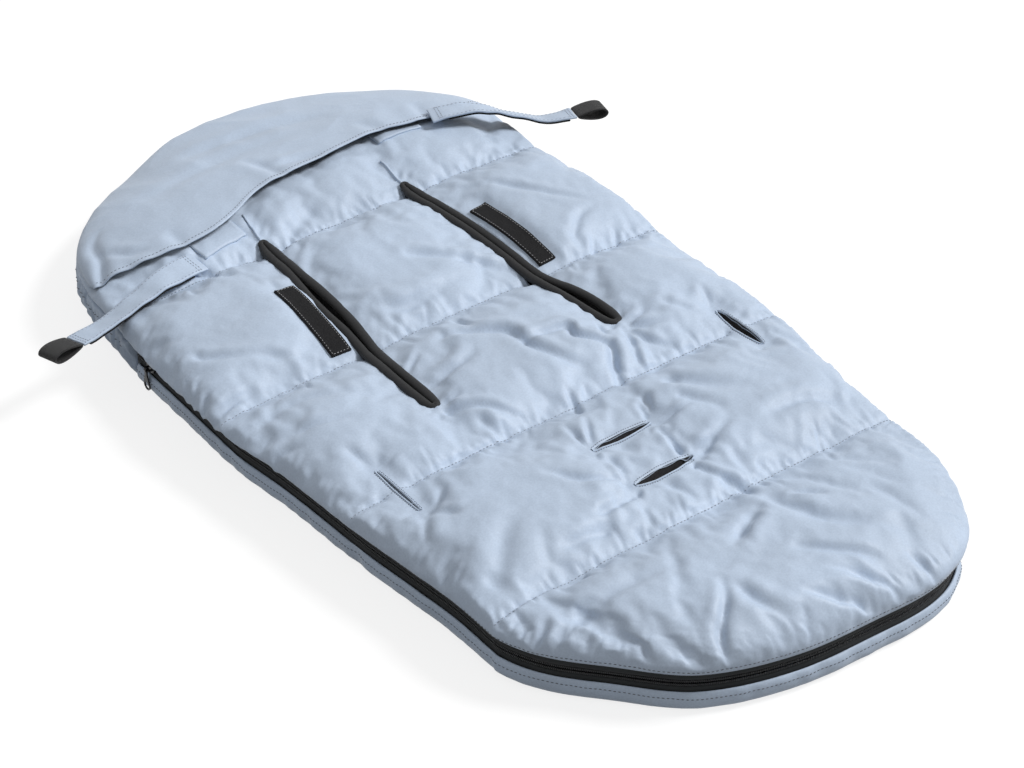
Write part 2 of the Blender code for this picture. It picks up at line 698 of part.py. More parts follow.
def back_panel(cutters):
    """The quilted back: foot, leg and hip channels, then left, middle and right channels beside the slits."""

    def foot_surface(low):
        def place(u, v):
            x, y = half_disc(u, 1 - v, FOOT_POWER)
            y_row = SEAM_FOOT - NODE_GAP / 2 - (FOOT_CHANNEL - NODE_GAP / 2) * y
            x_row = half_width(SEAM_FOOT) * x + sway(y_row)
            return panel_place(x_row, y_row, low)

        return place

    foot = padded_body("back_foot_channel", PANEL_CELLS, foot_surface(False), foot_surface(True))
    link(foot, SHELL, FOLD_HOME)

    def outer_left(y):
        return -half_width(y)

    leg = back_channel("back_leg_channel", SEAM_FOOT, SEAM_LEG, outer_left, half_width, PANEL_CELLS[0])
    hip = back_channel("back_hip_channel", SEAM_LEG, SEAM_HIP, outer_left, half_width, PANEL_CELLS[0])
    for key in ("hip_left", "hip_right"):
        cut(leg, cutters[key])
        cut(hip, cutters[key])
    for key in ("crotch_front", "crotch_rear"):
        cut(leg, cutters[key])
    for key in ("harness_left", "harness_right"):
        cut(hip, cutters[key])

    def outside(y):
        return slit_x(y) + NODE_GAP / 2

    def inside(y):
        return slit_x(y) - NODE_GAP / 2

    rows = (("back_upper", SEAM_HIP, SEAM_BACK), ("back_shoulder", SEAM_BACK, SEAM_HEAD))
    for name, low_y, high_y in rows:
        left = back_channel(name + "_left", low_y, high_y, outer_left, lambda y: -outside(y), SIDE_CELLS)
        middle = back_channel(name + "_middle", low_y, high_y, lambda y: -inside(y), inside, SIDE_CELLS + 2)
        right = back_channel(name + "_right", low_y, high_y, outside, half_width, SIDE_CELLS)
        cut(left, cutters["harness_left"])
        cut(middle, cutters["harness_left"])
        cut(middle, cutters["harness_right"])
        cut(right, cutters["harness_right"])

    head_width = half_width(SEAM_HEAD)
    head_depth = MUFF_LENGTH / 2 - SEAM_HEAD

    def head_surface(low):
        def place(u, v):
            x, deep = half_disc(u, v, HEAD_POWER)
            y = SEAM_HEAD + NODE_GAP / 2 + (head_depth - HEAD_INSET) * deep
            return panel_place((head_width - HEAD_INSET) * x, y, low)

        return place

    cells = (PANEL_CELLS[0] - 6, PANEL_CELLS[1] - 4)
    head = padded_body("back_head_channel", cells, head_surface(False), head_surface(True))
    link(head, SHELL, FOLD_HOME)


def back_lining(cutters):
    """Thin black lining under the channels from the foot up into the hood, with the same slits."""

    def face(lift):
        def place(u, v):
            third = 3 * v
            if third < 1:
                x, y = half_disc(u, 1 - third, FOOT_POWER)
                y_row = SEAM_FOOT - (FOOT_CHANNEL - LINING_INSET) * y
                x_row = (half_width(SEAM_FOOT) - LINING_INSET - zip_inset(y_row)) * x + sway(y_row)
            elif third < 2:
                y_row = SEAM_FOOT + (HEAD_BASE - SEAM_FOOT) * (third - 1)
                x_row = u * (half_width(y_row) - zip_inset(y_row) - LINING_INSET)
            else:
                x, y = half_disc(u, min(third - 2, 1.0), HEAD_POWER)
                inset = ZIP_SIDE_INSET + LINING_INSET
                y_row = HEAD_BASE + (HEAD_ROUND - inset) * y
                x_row = (half_width(HEAD_BASE) - inset) * x
            return (x_row, y_row, BACK_EDGE_LOW - NODE_GAP - LINING_THICKNESS + lift)

        return place

    body = padded_body("back_lining", LINING_CELLS, face(LINING_THICKNESS), face(0.0))
    for cutter in cutters.values():
        cut(body, cutter)
    return link(body, LINING, FOLD_HOME)


def laid_piece(name, start, end, width, thickness, material, steps):
    """Flat strip laid on the back panel from start to end in plan, following its surface."""
    first = Vector(start)
    run = Vector(end) - first
    side = Vector((-run.y, run.x)).normalized()

    def face(lift):
        def place(u, v):
            spot = first + run * v + side * u * width / 2
            return (spot.x, spot.y, panel_top(spot.x, spot.y) + lift)

        return place

    body = padded_body(name, (2, steps), face(LAY_GAP + thickness), face(LAY_GAP))
    return link(body, material, FOLD_HOME)


def hook_patches():
    """Hook-and-loop patches sewn beside the outer lip of each harness slit."""
    for side, name in ((-1, "left"), (1, "right")):
        ends = []
        for y in (PATCH_LOW_Y, PATCH_LOW_Y + PATCH_LENGTH):
            lip = slit_x(y) + SLIT_OPEN / 2 + 2 * LIP_RADIUS
            ends.append((side * (lip + PATCH_CLEAR + PATCH_WIDTH / 2), y))
        laid_piece("hook_patch_" + name, ends[0], ends[1], PATCH_WIDTH, PATCH_THICKNESS, HOOK, PATCH_STEPS)


def hem_share(share):
    """Height of the pocket's free hem, for -1 at its left corner to 1 at its right one."""
    return HEM_LOW_Y + HEM_SPAN * smooth_table(HEM_SHARES, share)


def outline_y(x):
    """Far edge of the head end at x."""
    across = min(abs(x) / half_width(HEAD_BASE), 1.0)
    return HEAD_BASE + HEAD_ROUND * (1 - across ** HEAD_POWER) ** (1 / HEAD_POWER)


def pocket_lift(x, y):
    """Height of the pocket above the padded head under it."""
    edge = edge_share(x, y)
    lift = POCKET_EDGE_GAP + (POCKET_LIFT - POCKET_EDGE_GAP) * (1 - edge ** POCKET_EDGE_POWER)
    half = half_width(HEAD_BASE)
    for x0, y0, x1, y1 in POCKET_FOLD_SHARES:
        start = Vector((x0 * half, HEAD_BASE + y0 * HEAD_ROUND))
        run = Vector((x1 * half, HEAD_BASE + y1 * HEAD_ROUND)) - start
        spot = Vector((x, y)) - start
        along = min(max(spot.dot(run) / run.length_squared, 0.0), 1.0)
        away = (spot - run * along).length
        lift += POCKET_FOLD_HEIGHT * bell(away, POCKET_FOLD_WIDTH) * (1 - edge)
    return lift


def pocket_under(x, y):
    """Height of the pocket's inner side, which spans the seams of the panel under it."""
    rise = math.sqrt(1 - edge_share(x, y) ** EDGE_POWER)
    return BACK_EDGE_TOP + (SEAM_TOP + CROWN - BACK_EDGE_TOP) * rise + pocket_lift(x, y)


def pocket_top(x, y):
    return pocket_under(x, y) + POCKET_THICKNESS


def seat_pocket():
    """Smooth pocket that slips over the top of the seat's backrest; its hem is free."""
    left_x = half_width(hem_share(-1))
    right_x = half_width(hem_share(1))

    def face(lift):
        def place(u, v):
            x, deep = half_disc(u, v, HEAD_POWER)
            far = max(1 - abs(x) ** HEAD_POWER, 0.0) ** (1 / HEAD_POWER)
            up = deep / far if far > 0 else 0.0
            corner = right_x if x > 0 else left_x
            x_row = x * (corner - POCKET_EDGE_INSET)
            start = hem_share(x)
            y = start + (outline_y(x_row) - POCKET_EDGE_INSET - start) * up
            return (x_row, y, pocket_under(x_row, y) + lift)

        return place

    body = padded_body("seat_pocket", POCKET_CELLS, face(POCKET_THICKNESS), face(0.0))
    return link(body, SHELL, FOLD_HOME)


def hood_rim():
    """Padded tunnel gathered by elastic, which runs from one zip top round the head to the other."""
    side_run = HEAD_BASE - RIM_LOW_Y
    arc_run = HEAD_ROUND * math.pi
    total = 2 * side_run + arc_run
    steps = RIM_CELLS[1]
    points = []
    for k in range(steps + 1):
        run = total * k / steps
        if run < side_run or run > side_run + arc_run:
            right = run > total / 2
            y = RIM_LOW_Y + (total - run if right else run)
            side = 1 if right else -1
            points.append(Vector((side * half_width(y), y)))
            continue
        angle = (run - side_run) / arc_run * math.pi
        c = -math.cos(angle)
        s = math.sin(angle)
        reach = (abs(c) ** HEAD_POWER + s ** HEAD_POWER) ** (-1 / HEAD_POWER)
        points.append(Vector((half_width(HEAD_BASE) * c * reach, HEAD_BASE + HEAD_ROUND * s * reach)))
    normals = [-normal for normal in path_normals(points)]

    def surface(outside):
        def place(u, v):
            k = round(v * steps)
            height = (u + 1) / 2
            belly = math.sin(math.pi * height)
            away = -RIM_TUCK * (1 - height)
            if outside:
                away += (RIM_BULGE + RIM_RUFFLE * math.sin(2 * math.pi * RIM_RUFFLES * v)) * belly
            else:
                away -= RIM_THICKNESS * (RIM_END_SHARE + (1 - RIM_END_SHARE) * belly)
            spot = points[k] + normals[k] * away
            return (spot.x, spot.y, RIM_HEIGHT * height)

        return place

    body = padded_body("hood_rim", RIM_CELLS, surface(True), surface(False))
    return link(body, SHELL, FOLD_HOME)


def ribbon(name, points, sides, width, thickness, material, home, closed=False):
    """Flat band of constant width along a route in space; sides give the direction of its width."""
    mesh = bpy.data.meshes.new(name)
    work = bmesh.new()
    half = sides[0] * width / 2
    row = [work.verts.new(points[0] - half), work.verts.new(points[0] + half)]
    edge = work.edges.new(row)
    first = edge
    for k in range(1, len(points)):
        grown = bmesh.ops.extrude_edge_only(work, edges=[edge])
        edge = [item for item in grown["geom"] if isinstance(item, bmesh.types.BMEdge)][0]
        half = sides[k] * width / 2
        for vert in edge.verts:
            far = (vert.co - points[k - 1]).dot(sides[k - 1]) > 0
            vert.co = points[k] + (half if far else -half)
    if closed:
        bmesh.ops.bridge_loops(work, edges=[first, edge])
    work.to_mesh(mesh)
    work.free()
    mesh.shade_smooth()
    mesh.set_sharp_from_angle(angle=SHADE_ANGLE)
    body = bpy.data.objects.new(name, mesh)
    wall = body.modifiers.new("thickness", "SOLIDIFY")
    wall.thickness = thickness
    wall.offset = 0.0
    wall.use_even_offset = True
    return link(body, material, home)


def strap(side, name):
    """Strap that ties the footmuff to the seat frame: fabric, hook tape under it, webbing loop at its end."""
    root_x = side * STRAP_ROOT_X + STRAP_SHIFT
    root_y = STRAP_ROOT_Y + STRAP_SKEW * root_x
    surface = pocket_top if side > 0 else panel_top

    def seat(y):
        return lay((root_x, y, surface(root_x, y)))

    root = seat(root_y)
    head_edge = seat(root_y + STRAP_WIDTH / 2).z
    foot_edge = seat(root_y - STRAP_WIDTH / 2).z
    root.z = max(root.z, (head_edge + foot_edge) / 2) + STRAP_SEAT_GAP + STRAP_THICKNESS / 2
    slant = STRAP_SLANT + side * STRAP_TURN
    out = Vector((side * math.cos(slant), -math.sin(slant), 0.0))
    level = Vector((-out.y, out.x, 0.0)) * side
    slope = Vector((0.0, 0.0, (head_edge - foot_edge) / STRAP_WIDTH))
    home = make_home("strap_axis_" + name, root)
    home.parent = FOLD_HOME
    home.matrix_parent_inverse = FOLD_HOME.matrix_world.inverted()
    bpy.context.view_layer.update()

    def route(distance, lower):
        share = min(distance / STRAP_LENGTH, 1.0)
        drop = (root.z - STRAP_END_Z) * smooth_table(STRAP_DROP_SHARES, share)
        lift = STRAP_LIFT * smooth_table(STRAP_LIFT_SHARES, share)
        return root + out * distance - Vector((0.0, 0.0, drop - lift + lower))

    def tilt(distance):
        return (level + slope * (1 - min(distance / STRAP_LENGTH, 1.0))).normalized()

    def layer(label, start, run, lower, thickness, material):
        steps = [start + run * k / STRAP_CELLS for k in range(STRAP_CELLS + 1)]
        points = [route(distance, lower) for distance in steps]
        sides = [tilt(distance) for distance in steps]
        ribbon(label + name, points, sides, STRAP_WIDTH, thickness, material, home)

    layer("strap_", 0.0, STRAP_LENGTH, 0.0, STRAP_THICKNESS, SHELL)
    lower = (STRAP_THICKNESS + HOOK_TAPE_THICKNESS) / 2 + NODE_GAP
    run = STRAP_LENGTH - HOOK_TAPE_START - HOOK_TAPE_END
    layer("strap_hook_tape_", HOOK_TAPE_START, run, lower, HOOK_TAPE_THICKNESS, HOOK)

    loop = []
    base = route(STRAP_LENGTH, 0.0) + out * (NODE_GAP + LOOP_THICKNESS)
    for k in range(LOOP_CELLS):
        angle = 2 * math.pi * k / LOOP_CELLS
        along = LOOP_LENGTH / 2 * (1 - math.cos(angle))
        lean = math.sin(angle) * (LOOP_ROOT_SHARE + (1 - LOOP_ROOT_SHARE) * (1 - math.cos(angle)) / 2)
        loop.append(base + out * along + Vector((0.0, 0.0, LOOP_HEIGHT / 2 * lean)))
    sides = [level] * LOOP_CELLS
    ribbon("strap_loop_" + name, loop, sides, LOOP_WIDTH, LOOP_THICKNESS, WEBBING, home, True)


def anchor_strips():
    """Strips sewn flat beside the seams above the harness slits, where the straps take hold."""
    for side, name in ((-1, "left"), (1, "right")):
        turn = side * STRIP_TURN + STRIP_TURN
        start = Vector((side * STRIP_X, STRIP_Y + STRIP_SKEW * side * STRIP_X))
        run = STRIP_LENGTH * Vector((side * math.cos(turn), -math.sin(STRAP_SLANT - turn)))
        end = start + run
        laid_piece("anchor_strip_" + name, start, end, STRIP_WIDTH, STRIP_THICKNESS, SHELL, STRIP_STEPS)


def outlined_plate(name, outline, low, high, frame):
    """Flat plate with the given outline in a frame of origin, two plate axes and a thickness axis."""
    origin, first, second, third = frame
    mesh = bpy.data.meshes.new(name)
    work = bmesh.new()
    verts = [work.verts.new(origin + first * a + second * b + third * low) for a, b in outline]
    face = work.faces.new(verts)
    grown = bmesh.ops.extrude_face_region(work, geom=[face])
    raised = [item for item in grown["geom"] if isinstance(item, bmesh.types.BMVert)]
    bmesh.ops.translate(work, vec=third * (high - low), verts=raised)
    bmesh.ops.recalc_face_normals(work, faces=work.faces)
    work.to_mesh(mesh)
    work.free()
    return bpy.data.objects.new(name, mesh)


def join_solids(name, solids):
    """One closed solid from overlapping ones, as the evaluated result of a Boolean union."""
    body = solids[0]
    CUTTERS.objects.link(body)
    for other in solids[1:]:
        CUTTERS.objects.link(other)
        modifier = body.modifiers.new("join", "BOOLEAN")
        modifier.operation = "UNION"
        modifier.object = other
    bpy.context.view_layer.update()
    whole = bpy.data.meshes.new_from_object(body.evaluated_get(bpy.context.evaluated_depsgraph_get()))
    for other in solids:
        bpy.data.objects.remove(other, do_unlink=True)
    whole.name = name
    return bpy.data.objects.new(name, whole)


def ellipse(width, height, middle, count):
    points = []
    for k in range(count):
        angle = 2 * math.pi * k / count
        points.append((middle[0] + width / 2 * math.cos(angle), middle[1] + height / 2 * math.sin(angle)))
    return points


def slider(side, name):
    """Zip slider: two plates held apart by a neck, a bridge on the outer plate, and a pull on the bridge."""
    straight = half_width(ZIP_STRAIGHT_Y) - ZIP_SIDE_INSET
    centre = lay((side * straight, SLIDER_Y, ZIP_HEIGHT))
    out = Vector((side, 0.0, 0.0))
    along = Vector((0.0, 1.0, 0.0))
    up = Vector((0.0, 0.0, 1.0))
    half_long = SLIDER_LENGTH / 2
    half_high = SLIDER_HEIGHT / 2
    nose = half_high * SLIDER_NOSE_SHARE
    shield = [
        (-half_long, -nose), (-half_long, nose), (-nose / 2, half_high), (half_long - nose / 2, half_high),
        (half_long, nose), (half_long, -nose), (half_long - nose / 2, -half_high), (-nose / 2, -half_high),
    ]
    frame = (centre, along, up, out)
    inner_face = PLATE_GAP / 2
    outer_face = inner_face + PLATE_THICKNESS
    outer_plate = outlined_plate("outer", shield, inner_face, outer_face, frame)
    inner_plate = outlined_plate("inner", shield, -outer_face, -inner_face, frame)
    neck_end = half_long - nose / 2
    neck_half = NECK_THICKNESS / 2
    neck_outline = [
        (neck_end - NECK_LENGTH, -neck_half), (neck_end - NECK_LENGTH, neck_half),
        (neck_end, neck_half), (neck_end, -neck_half),
    ]
    reach = outer_face - PLATE_THICKNESS / 2
    neck = outlined_plate("neck", neck_outline, -reach, reach, frame)
    bar_half = BRIDGE_BAR / 2
    bar_out = outer_face + BRIDGE_RISE
    bridge_half = BRIDGE_LENGTH / 2
    arch = [
        (-bridge_half, reach), (-bridge_half, bar_out), (-bridge_half + bar_half, bar_out + bar_half),
        (bridge_half - bar_half, bar_out + bar_half), (bridge_half, bar_out), (bridge_half, reach),
        (bridge_half - BRIDGE_BAR, reach), (bridge_half - BRIDGE_BAR, bar_out - bar_half),
        (BRIDGE_BAR - bridge_half, bar_out - bar_half), (BRIDGE_BAR - bridge_half, reach),
    ]
    bridge = outlined_plate("bridge", arch, -bar_half, bar_half, (centre, along, out, up))
    body = join_solids("zip_slider_" + name, [outer_plate, inner_plate, neck, bridge])
    slide_home = make_home("slider_axis_" + name, centre)
    link(body, SLIDER, slide_home)

    pivot = centre + out * bar_out
    pull_home = make_home("pull_axis_" + name, pivot)
    pull_home.parent = slide_home
    pull_home.matrix_parent_inverse = slide_home.matrix_world.inverted()
    bpy.context.view_layer.update()
    down = -up
    eye_outer = EYE_BORE / 2 + EYE_WALL
    eye_frame = (pivot, out, up, along)
    eye_half = EYE_WIDTH / 2
    eye_ring = ellipse(2 * eye_outer, 2 * eye_outer, (0.0, 0.0), EYE_SIDES)
    eye = outlined_plate("eye", eye_ring, -eye_half, eye_half, eye_frame)
    stem_half = PULL_STEM_WIDTH / 2
    tab_half = PULL_TAB_WIDTH / 2
    stem_start = (EYE_BORE / 2 + eye_outer) / 2
    stem_end = stem_start + PULL_STEM
    tab = [
        (-eye_half, stem_start), (eye_half, stem_start), (stem_half, stem_start + PULL_STEM / 3),
        (tab_half, stem_end), (-tab_half, stem_end), (-stem_half, stem_start + PULL_STEM / 3),
    ]
    flat_frame = (pivot + out * PULL_OUT, along, down, out)
    half_thick = PULL_THICKNESS / 2
    stem = outlined_plate("stem", tab, -half_thick, half_thick, flat_frame)
    ring_middle = (0.0, stem_end + RING_LENGTH / 2 - RING_WALL)
    ring_rim = ellipse(RING_WIDTH, RING_LENGTH, ring_middle, RING_SIDES)
    ring = outlined_plate("ring", ring_rim, -half_thick, half_thick, flat_frame)
    pull = join_solids("zip_pull_" + name, [eye, stem, ring])
    eye_hole = ellipse(EYE_BORE, EYE_BORE, (0.0, 0.0), EYE_SIDES)
    bore = outlined_plate("eye_bore_" + name, eye_hole, -eye_half - NODE_GAP, eye_half + NODE_GAP, eye_frame)
    window = ellipse(RING_WIDTH - 2 * RING_WALL, RING_LENGTH - 2 * RING_WALL, ring_middle, RING_SIDES)
    opening = outlined_plate("ring_opening_" + name, window, -PULL_THICKNESS, PULL_THICKNESS, flat_frame)
    for cutter in (bore, opening):
        cutter.hide_render = True
        cutter.display_type = "WIRE"
        CUTTERS.objects.link(cutter)
        cut(pull, cutter)
    link(pull, SLIDER, pull_home)


def build():
    """All the pieces of the footmuff."""
    front_cover()
    zip_halves()
    cutters = slits()
    back_panel(cutters)
    back_lining(cutters)
    hook_patches()
    anchor_strips()
    seat_pocket()
    hood_rim()
    for side, name in ((-1, "left"), (1, "right")):
        strap(side, name)
        slider(side, name)


build()
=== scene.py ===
import math
import random
import bmesh
import bpy
import numpy as np
from mathutils import Matrix, Vector, noise
from mathutils.bvhtree import BVHTree


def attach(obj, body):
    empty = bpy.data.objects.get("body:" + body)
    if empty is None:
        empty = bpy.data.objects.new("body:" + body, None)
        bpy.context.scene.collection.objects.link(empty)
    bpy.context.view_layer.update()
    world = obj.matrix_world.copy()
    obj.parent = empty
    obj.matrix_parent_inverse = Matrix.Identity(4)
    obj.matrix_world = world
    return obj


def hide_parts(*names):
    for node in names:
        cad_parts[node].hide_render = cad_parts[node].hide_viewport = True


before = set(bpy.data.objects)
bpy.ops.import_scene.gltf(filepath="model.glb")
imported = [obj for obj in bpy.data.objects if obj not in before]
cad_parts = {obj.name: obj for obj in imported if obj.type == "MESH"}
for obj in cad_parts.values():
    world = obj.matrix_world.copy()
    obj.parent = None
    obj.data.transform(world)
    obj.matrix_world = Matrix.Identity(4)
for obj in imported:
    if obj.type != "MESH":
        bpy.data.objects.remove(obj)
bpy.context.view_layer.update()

# Studio: a plain white floor, one large soft lamp from the right of the view, and a camera
# at the photograph's viewing angle, 2.4 m away with a long lens.
CAMERA_PLACE = Vector((-1.13788, -1.55141, 1.51999))
CAMERA_AIM = Vector((-0.0123, -0.0601, 0.05))
CAMERA_LENS = 96.68
scene = bpy.context.scene
scene.view_settings.view_transform = "Standard"
lens = bpy.data.cameras.new("camera")
lens.lens = CAMERA_LENS
lens.sensor_width = 36.0
lens.clip_end = 50.0
camera = bpy.data.objects.new("camera", lens)
camera.location = CAMERA_PLACE
camera.rotation_euler = (CAMERA_AIM - CAMERA_PLACE).to_track_quat("-Z", "Y").to_euler()
scene.collection.objects.link(camera)
scene.camera = camera

SKY_LEVEL = 0.42
LAMP_LEVEL = 2.62
LAMP_SPREAD = math.radians(18.0)
LAMP_FROM = Vector((0.70, -0.30, 0.72))
FLOOR_GLOW = 0.80
FLOOR_PAINT = (0.27, 0.27, 0.27, 1.0)


def white_seen(tree):
    """1 for the rays that see the studio's plain white: from the camera, or in a reflection."""
    rays = tree.nodes.new("ShaderNodeLightPath")
    seen = tree.nodes.new("ShaderNodeMath")
    seen.operation = "MAXIMUM"
    tree.links.new(rays.outputs["Is Camera Ray"], seen.inputs[0])
    tree.links.new(rays.outputs["Is Glossy Ray"], seen.inputs[1])
    return seen.outputs["Value"]


world = bpy.data.worlds.new("studio")
scene.world = world
world.use_nodes = True
sky = world.node_tree
sky.nodes.clear()
sky_out = sky.nodes.new("ShaderNodeOutputWorld")
soft_sky = sky.nodes.new("ShaderNodeBackground")
soft_sky.inputs["Strength"].default_value = SKY_LEVEL
white_sky = sky.nodes.new("ShaderNodeBackground")
white_sky.inputs["Strength"].default_value = 1.0
for background in (soft_sky, white_sky):
    background.inputs["Color"].default_value = (1.0, 1.0, 1.0, 1.0)
sky_mix = sky.nodes.new("ShaderNodeMixShader")
sky.links.new(white_seen(sky), sky_mix.inputs["Fac"])
sky.links.new(soft_sky.outputs["Background"], sky_mix.inputs[1])
sky.links.new(white_sky.outputs["Background"], sky_mix.inputs[2])
sky.links.new(sky_mix.outputs["Shader"], sky_out.inputs["Surface"])

lamp_data = bpy.data.lights.new("softbox", "SUN")
lamp_data.energy = LAMP_LEVEL
lamp_data.angle = LAMP_SPREAD
lamp = bpy.data.objects.new("softbox", lamp_data)
lamp.rotation_euler = LAMP_FROM.to_track_quat("Z", "Y").to_euler()
scene.collection.objects.link(lamp)

FLOOR_SIZE = 16.0
FLOOR_DROP = 0.0004
floor_work = bmesh.new()
bmesh.ops.create_grid(floor_work, x_segments=1, y_segments=1, size=FLOOR_SIZE)
bmesh.ops.translate(floor_work, vec=(0.0, 0.0, -FLOOR_DROP), verts=floor_work.verts)
floor_mesh = bpy.data.meshes.new("floor")
floor_work.to_mesh(floor_mesh)
floor_work.free()
floor = bpy.data.objects.new("floor", floor_mesh)
scene.collection.objects.link(floor)
floor_look = bpy.data.materials.new("white_floor")
floor_look.use_nodes = True
paint = floor_look.node_tree
paint.nodes.clear()
paint_out = paint.nodes.new("ShaderNodeOutputMaterial")
matt_white = paint.nodes.new("ShaderNodeBsdfDiffuse")
matt_white.inputs["Color"].default_value = FLOOR_PAINT
glow = paint.nodes.new("ShaderNodeEmission")
glow.inputs["Strength"].default_value = FLOOR_GLOW
both = paint.nodes.new("ShaderNodeAddShader")
by_ray = paint.nodes.new("ShaderNodeMixShader")
paint.links.new(matt_white.outputs["BSDF"], both.inputs[0])
paint.links.new(glow.outputs["Emission"], both.inputs[1])
paint.links.new(white_seen(paint), by_ray.inputs["Fac"])
paint.links.new(matt_white.outputs["BSDF"], by_ray.inputs[1])
paint.links.new(both.outputs["Shader"], by_ray.inputs[2])
paint.links.new(by_ray.outputs["Shader"], paint_out.inputs["Surface"])
floor_mesh.materials.append(floor_look)

# Front shell: the cover over the child's body, which lies face down on the floor. Reflective polyester
# over wadding, quilted along three seams, folded in and topstitched to the lower tape of the zip.
MUFF_LENGTH = 0.925
MUFF_WIDTH = 0.488
FOOT_Y = -MUFF_LENGTH / 2
SEAM_SHARES = (0.1773, 0.36108, 0.54054, 0.73405)
SEAMS = tuple(FOOT_Y + MUFF_LENGTH * share for share in SEAM_SHARES)
SEAM_FOOT, SEAM_LEG, SEAM_HIP, SEAM_BACK = SEAMS
FOOT_DEPTH = SEAM_FOOT - FOOT_Y
HEAD_BASE = SEAM_BACK + 0.0065
HEAD_DEPTH = MUFF_LENGTH / 2 - HEAD_BASE
FOOT_POWER = 2.15
HEAD_POWER = 2.25
SIDE_WIDTH_SHARES = (
    (0.000, 0.871), (0.097, 0.882), (0.188, 0.910), (0.326, 0.950), (0.515, 0.969),
    (0.644, 0.987), (0.738, 1.000), (0.880, 0.988), (1.000, 0.961),
)
FOOT_SWAY = 0.034
FOOT_SWAY_POWER = 2.5
LEAN_SHARES = (
    (0.177, -0.008), (0.290, -0.005), (0.392, -0.007), (0.470, -0.016), (0.530, -0.0262), (0.555, -0.0265),
    (0.620, -0.0265), (0.700, -0.0265), (0.720, -0.0265), (0.824, -0.010), (0.954, 0.000),
)
FOOT_REACH_SHARES = (
    (0.00, 1.000), (0.14, 1.020), (0.28, 1.065), (0.42, 1.000), (0.56, 0.990), (0.72, 0.968), (0.86, 0.900),
    (1.00, 1.000),
)
HEAD_REACH_SHARES = (
    (0.00, 1.000), (0.14, 1.015), (0.28, 1.005), (0.42, 1.000), (0.55, 0.995), (0.66, 0.945), (0.78, 0.980),
    (0.88, 1.020), (1.00, 1.000),
)
HEAD_SINK_SHARE = 0.28
HEAD_SINK_START = 0.0540
LAID_X = 0.0054
LAID_Y = 0.0013
ZIP_HEIGHT = 0.0295
ZIP_SIDE_INSET = 0.012
ZIP_FOOT_INSET = 0.0030
ZIP_STEPS = 420
COVER_TOP_Y = SEAM_BACK - 0.0205
ZIP_TOP_Y = COVER_TOP_Y - 0.001
ZIP_STRAIGHT_Y = SEAM_HIP - 0.0075
WELD = 0.00001


def smooth_table(table, t):
    """Value at t of a curve through the table's points, with a tangent at each from its neighbours."""
    last = len(table) - 1
    t = min(max(t, table[0][0]), table[last][0])
    k = 0
    while k < last - 1 and t > table[k + 1][0]:
        k += 1
    x0, y0 = table[k]
    x1, y1 = table[k + 1]
    xa, ya = table[max(k - 1, 0)]
    xb, yb = table[min(k + 2, last)]
    slope0 = (y1 - ya) / (x1 - xa)
    slope1 = (yb - y0) / (xb - x0)
    span = x1 - x0
    s = (t - x0) / span
    rest = 1 - s
    return (
        y0 * (1 + 2 * s) * rest ** 2 + y1 * (3 - 2 * s) * s ** 2
        + slope0 * span * s * rest ** 2 - slope1 * span * s ** 2 * rest
    )


def half_width(y):
    """Half width of the straight muff at y."""
    half = MUFF_WIDTH / 2
    if y < SEAM_FOOT:
        depth = min((SEAM_FOOT - y) / FOOT_DEPTH, 1.0)
        return half * SIDE_WIDTH_SHARES[0][1] * (1 - depth ** FOOT_POWER) ** (1 / FOOT_POWER)
    if y > HEAD_BASE:
        depth = min((y - HEAD_BASE) / HEAD_DEPTH, 1.0)
        return half * SIDE_WIDTH_SHARES[-1][1] * (1 - depth ** HEAD_POWER) ** (1 / HEAD_POWER)
    return half * smooth_table(SIDE_WIDTH_SHARES, (y - SEAM_FOOT) / (HEAD_BASE - SEAM_FOOT))


def sway(y):
    """How far the middle line leans to the right at the foot."""
    depth = clamped((SEAM_FOOT - y) / FOOT_DEPTH)
    return FOOT_SWAY * depth ** FOOT_SWAY_POWER


def edge_share(x, y):
    """0 on the middle line, 1 on the outline."""
    if y < SEAM_FOOT:
        across = abs(x - sway(y)) / (MUFF_WIDTH / 2 * SIDE_WIDTH_SHARES[0][1])
        depth = (SEAM_FOOT - y) / FOOT_DEPTH
        return min((across ** FOOT_POWER + depth ** FOOT_POWER) ** (1 / FOOT_POWER), 1.0)
    if y > HEAD_BASE:
        across = abs(x) / (MUFF_WIDTH / 2 * SIDE_WIDTH_SHARES[-1][1])
        depth = (y - HEAD_BASE) / HEAD_DEPTH
        return min((across ** HEAD_POWER + depth ** HEAD_POWER) ** (1 / HEAD_POWER), 1.0)
    return min(abs(x) / half_width(y), 1.0)


def lay(place):
    """Where a point of the straight muff comes to lie."""
    x, y, z = place
    edge = edge_share(x, y) ** 2
    reach = 1.0
    sink = 0.0
    along = (y - FOOT_Y) / MUFF_LENGTH
    lean = MUFF_WIDTH * smooth_table(LEAN_SHARES, along) * (1 + edge) / 2
    base = y
    if y < SEAM_FOOT:
        base = SEAM_FOOT
        turn = math.atan2(SEAM_FOOT - y, x) / math.pi
        reach += (smooth_table(FOOT_REACH_SHARES, turn) - 1) * edge
    elif y > HEAD_BASE:
        base = HEAD_BASE
        turn = math.atan2(y - HEAD_BASE, x) / math.pi
        reach += (smooth_table(HEAD_REACH_SHARES, turn) - 1) * edge
        start = SEAM_BACK + HEAD_SINK_START
        down = clamped((y - start) / (MUFF_LENGTH / 2 - start))
        sink = HEAD_SINK_SHARE * down * down * (3 - 2 * down)
    return Vector((x * reach + lean + LAID_X, base + (y - base) * reach + LAID_Y, z * (1 - sink)))


def laid(x, y):
    """Where a plan point of the straight muff comes to lie in plan."""
    return lay((x, y, 0.0)).xy


def clamped(share):
    """The share, held between 0 and 1."""
    return min(max(share, 0.0), 1.0)


def bell(distance, reach):
    """1 at no distance, falling to almost nothing at twice the reach."""
    return math.exp(-((distance / reach) ** 2))


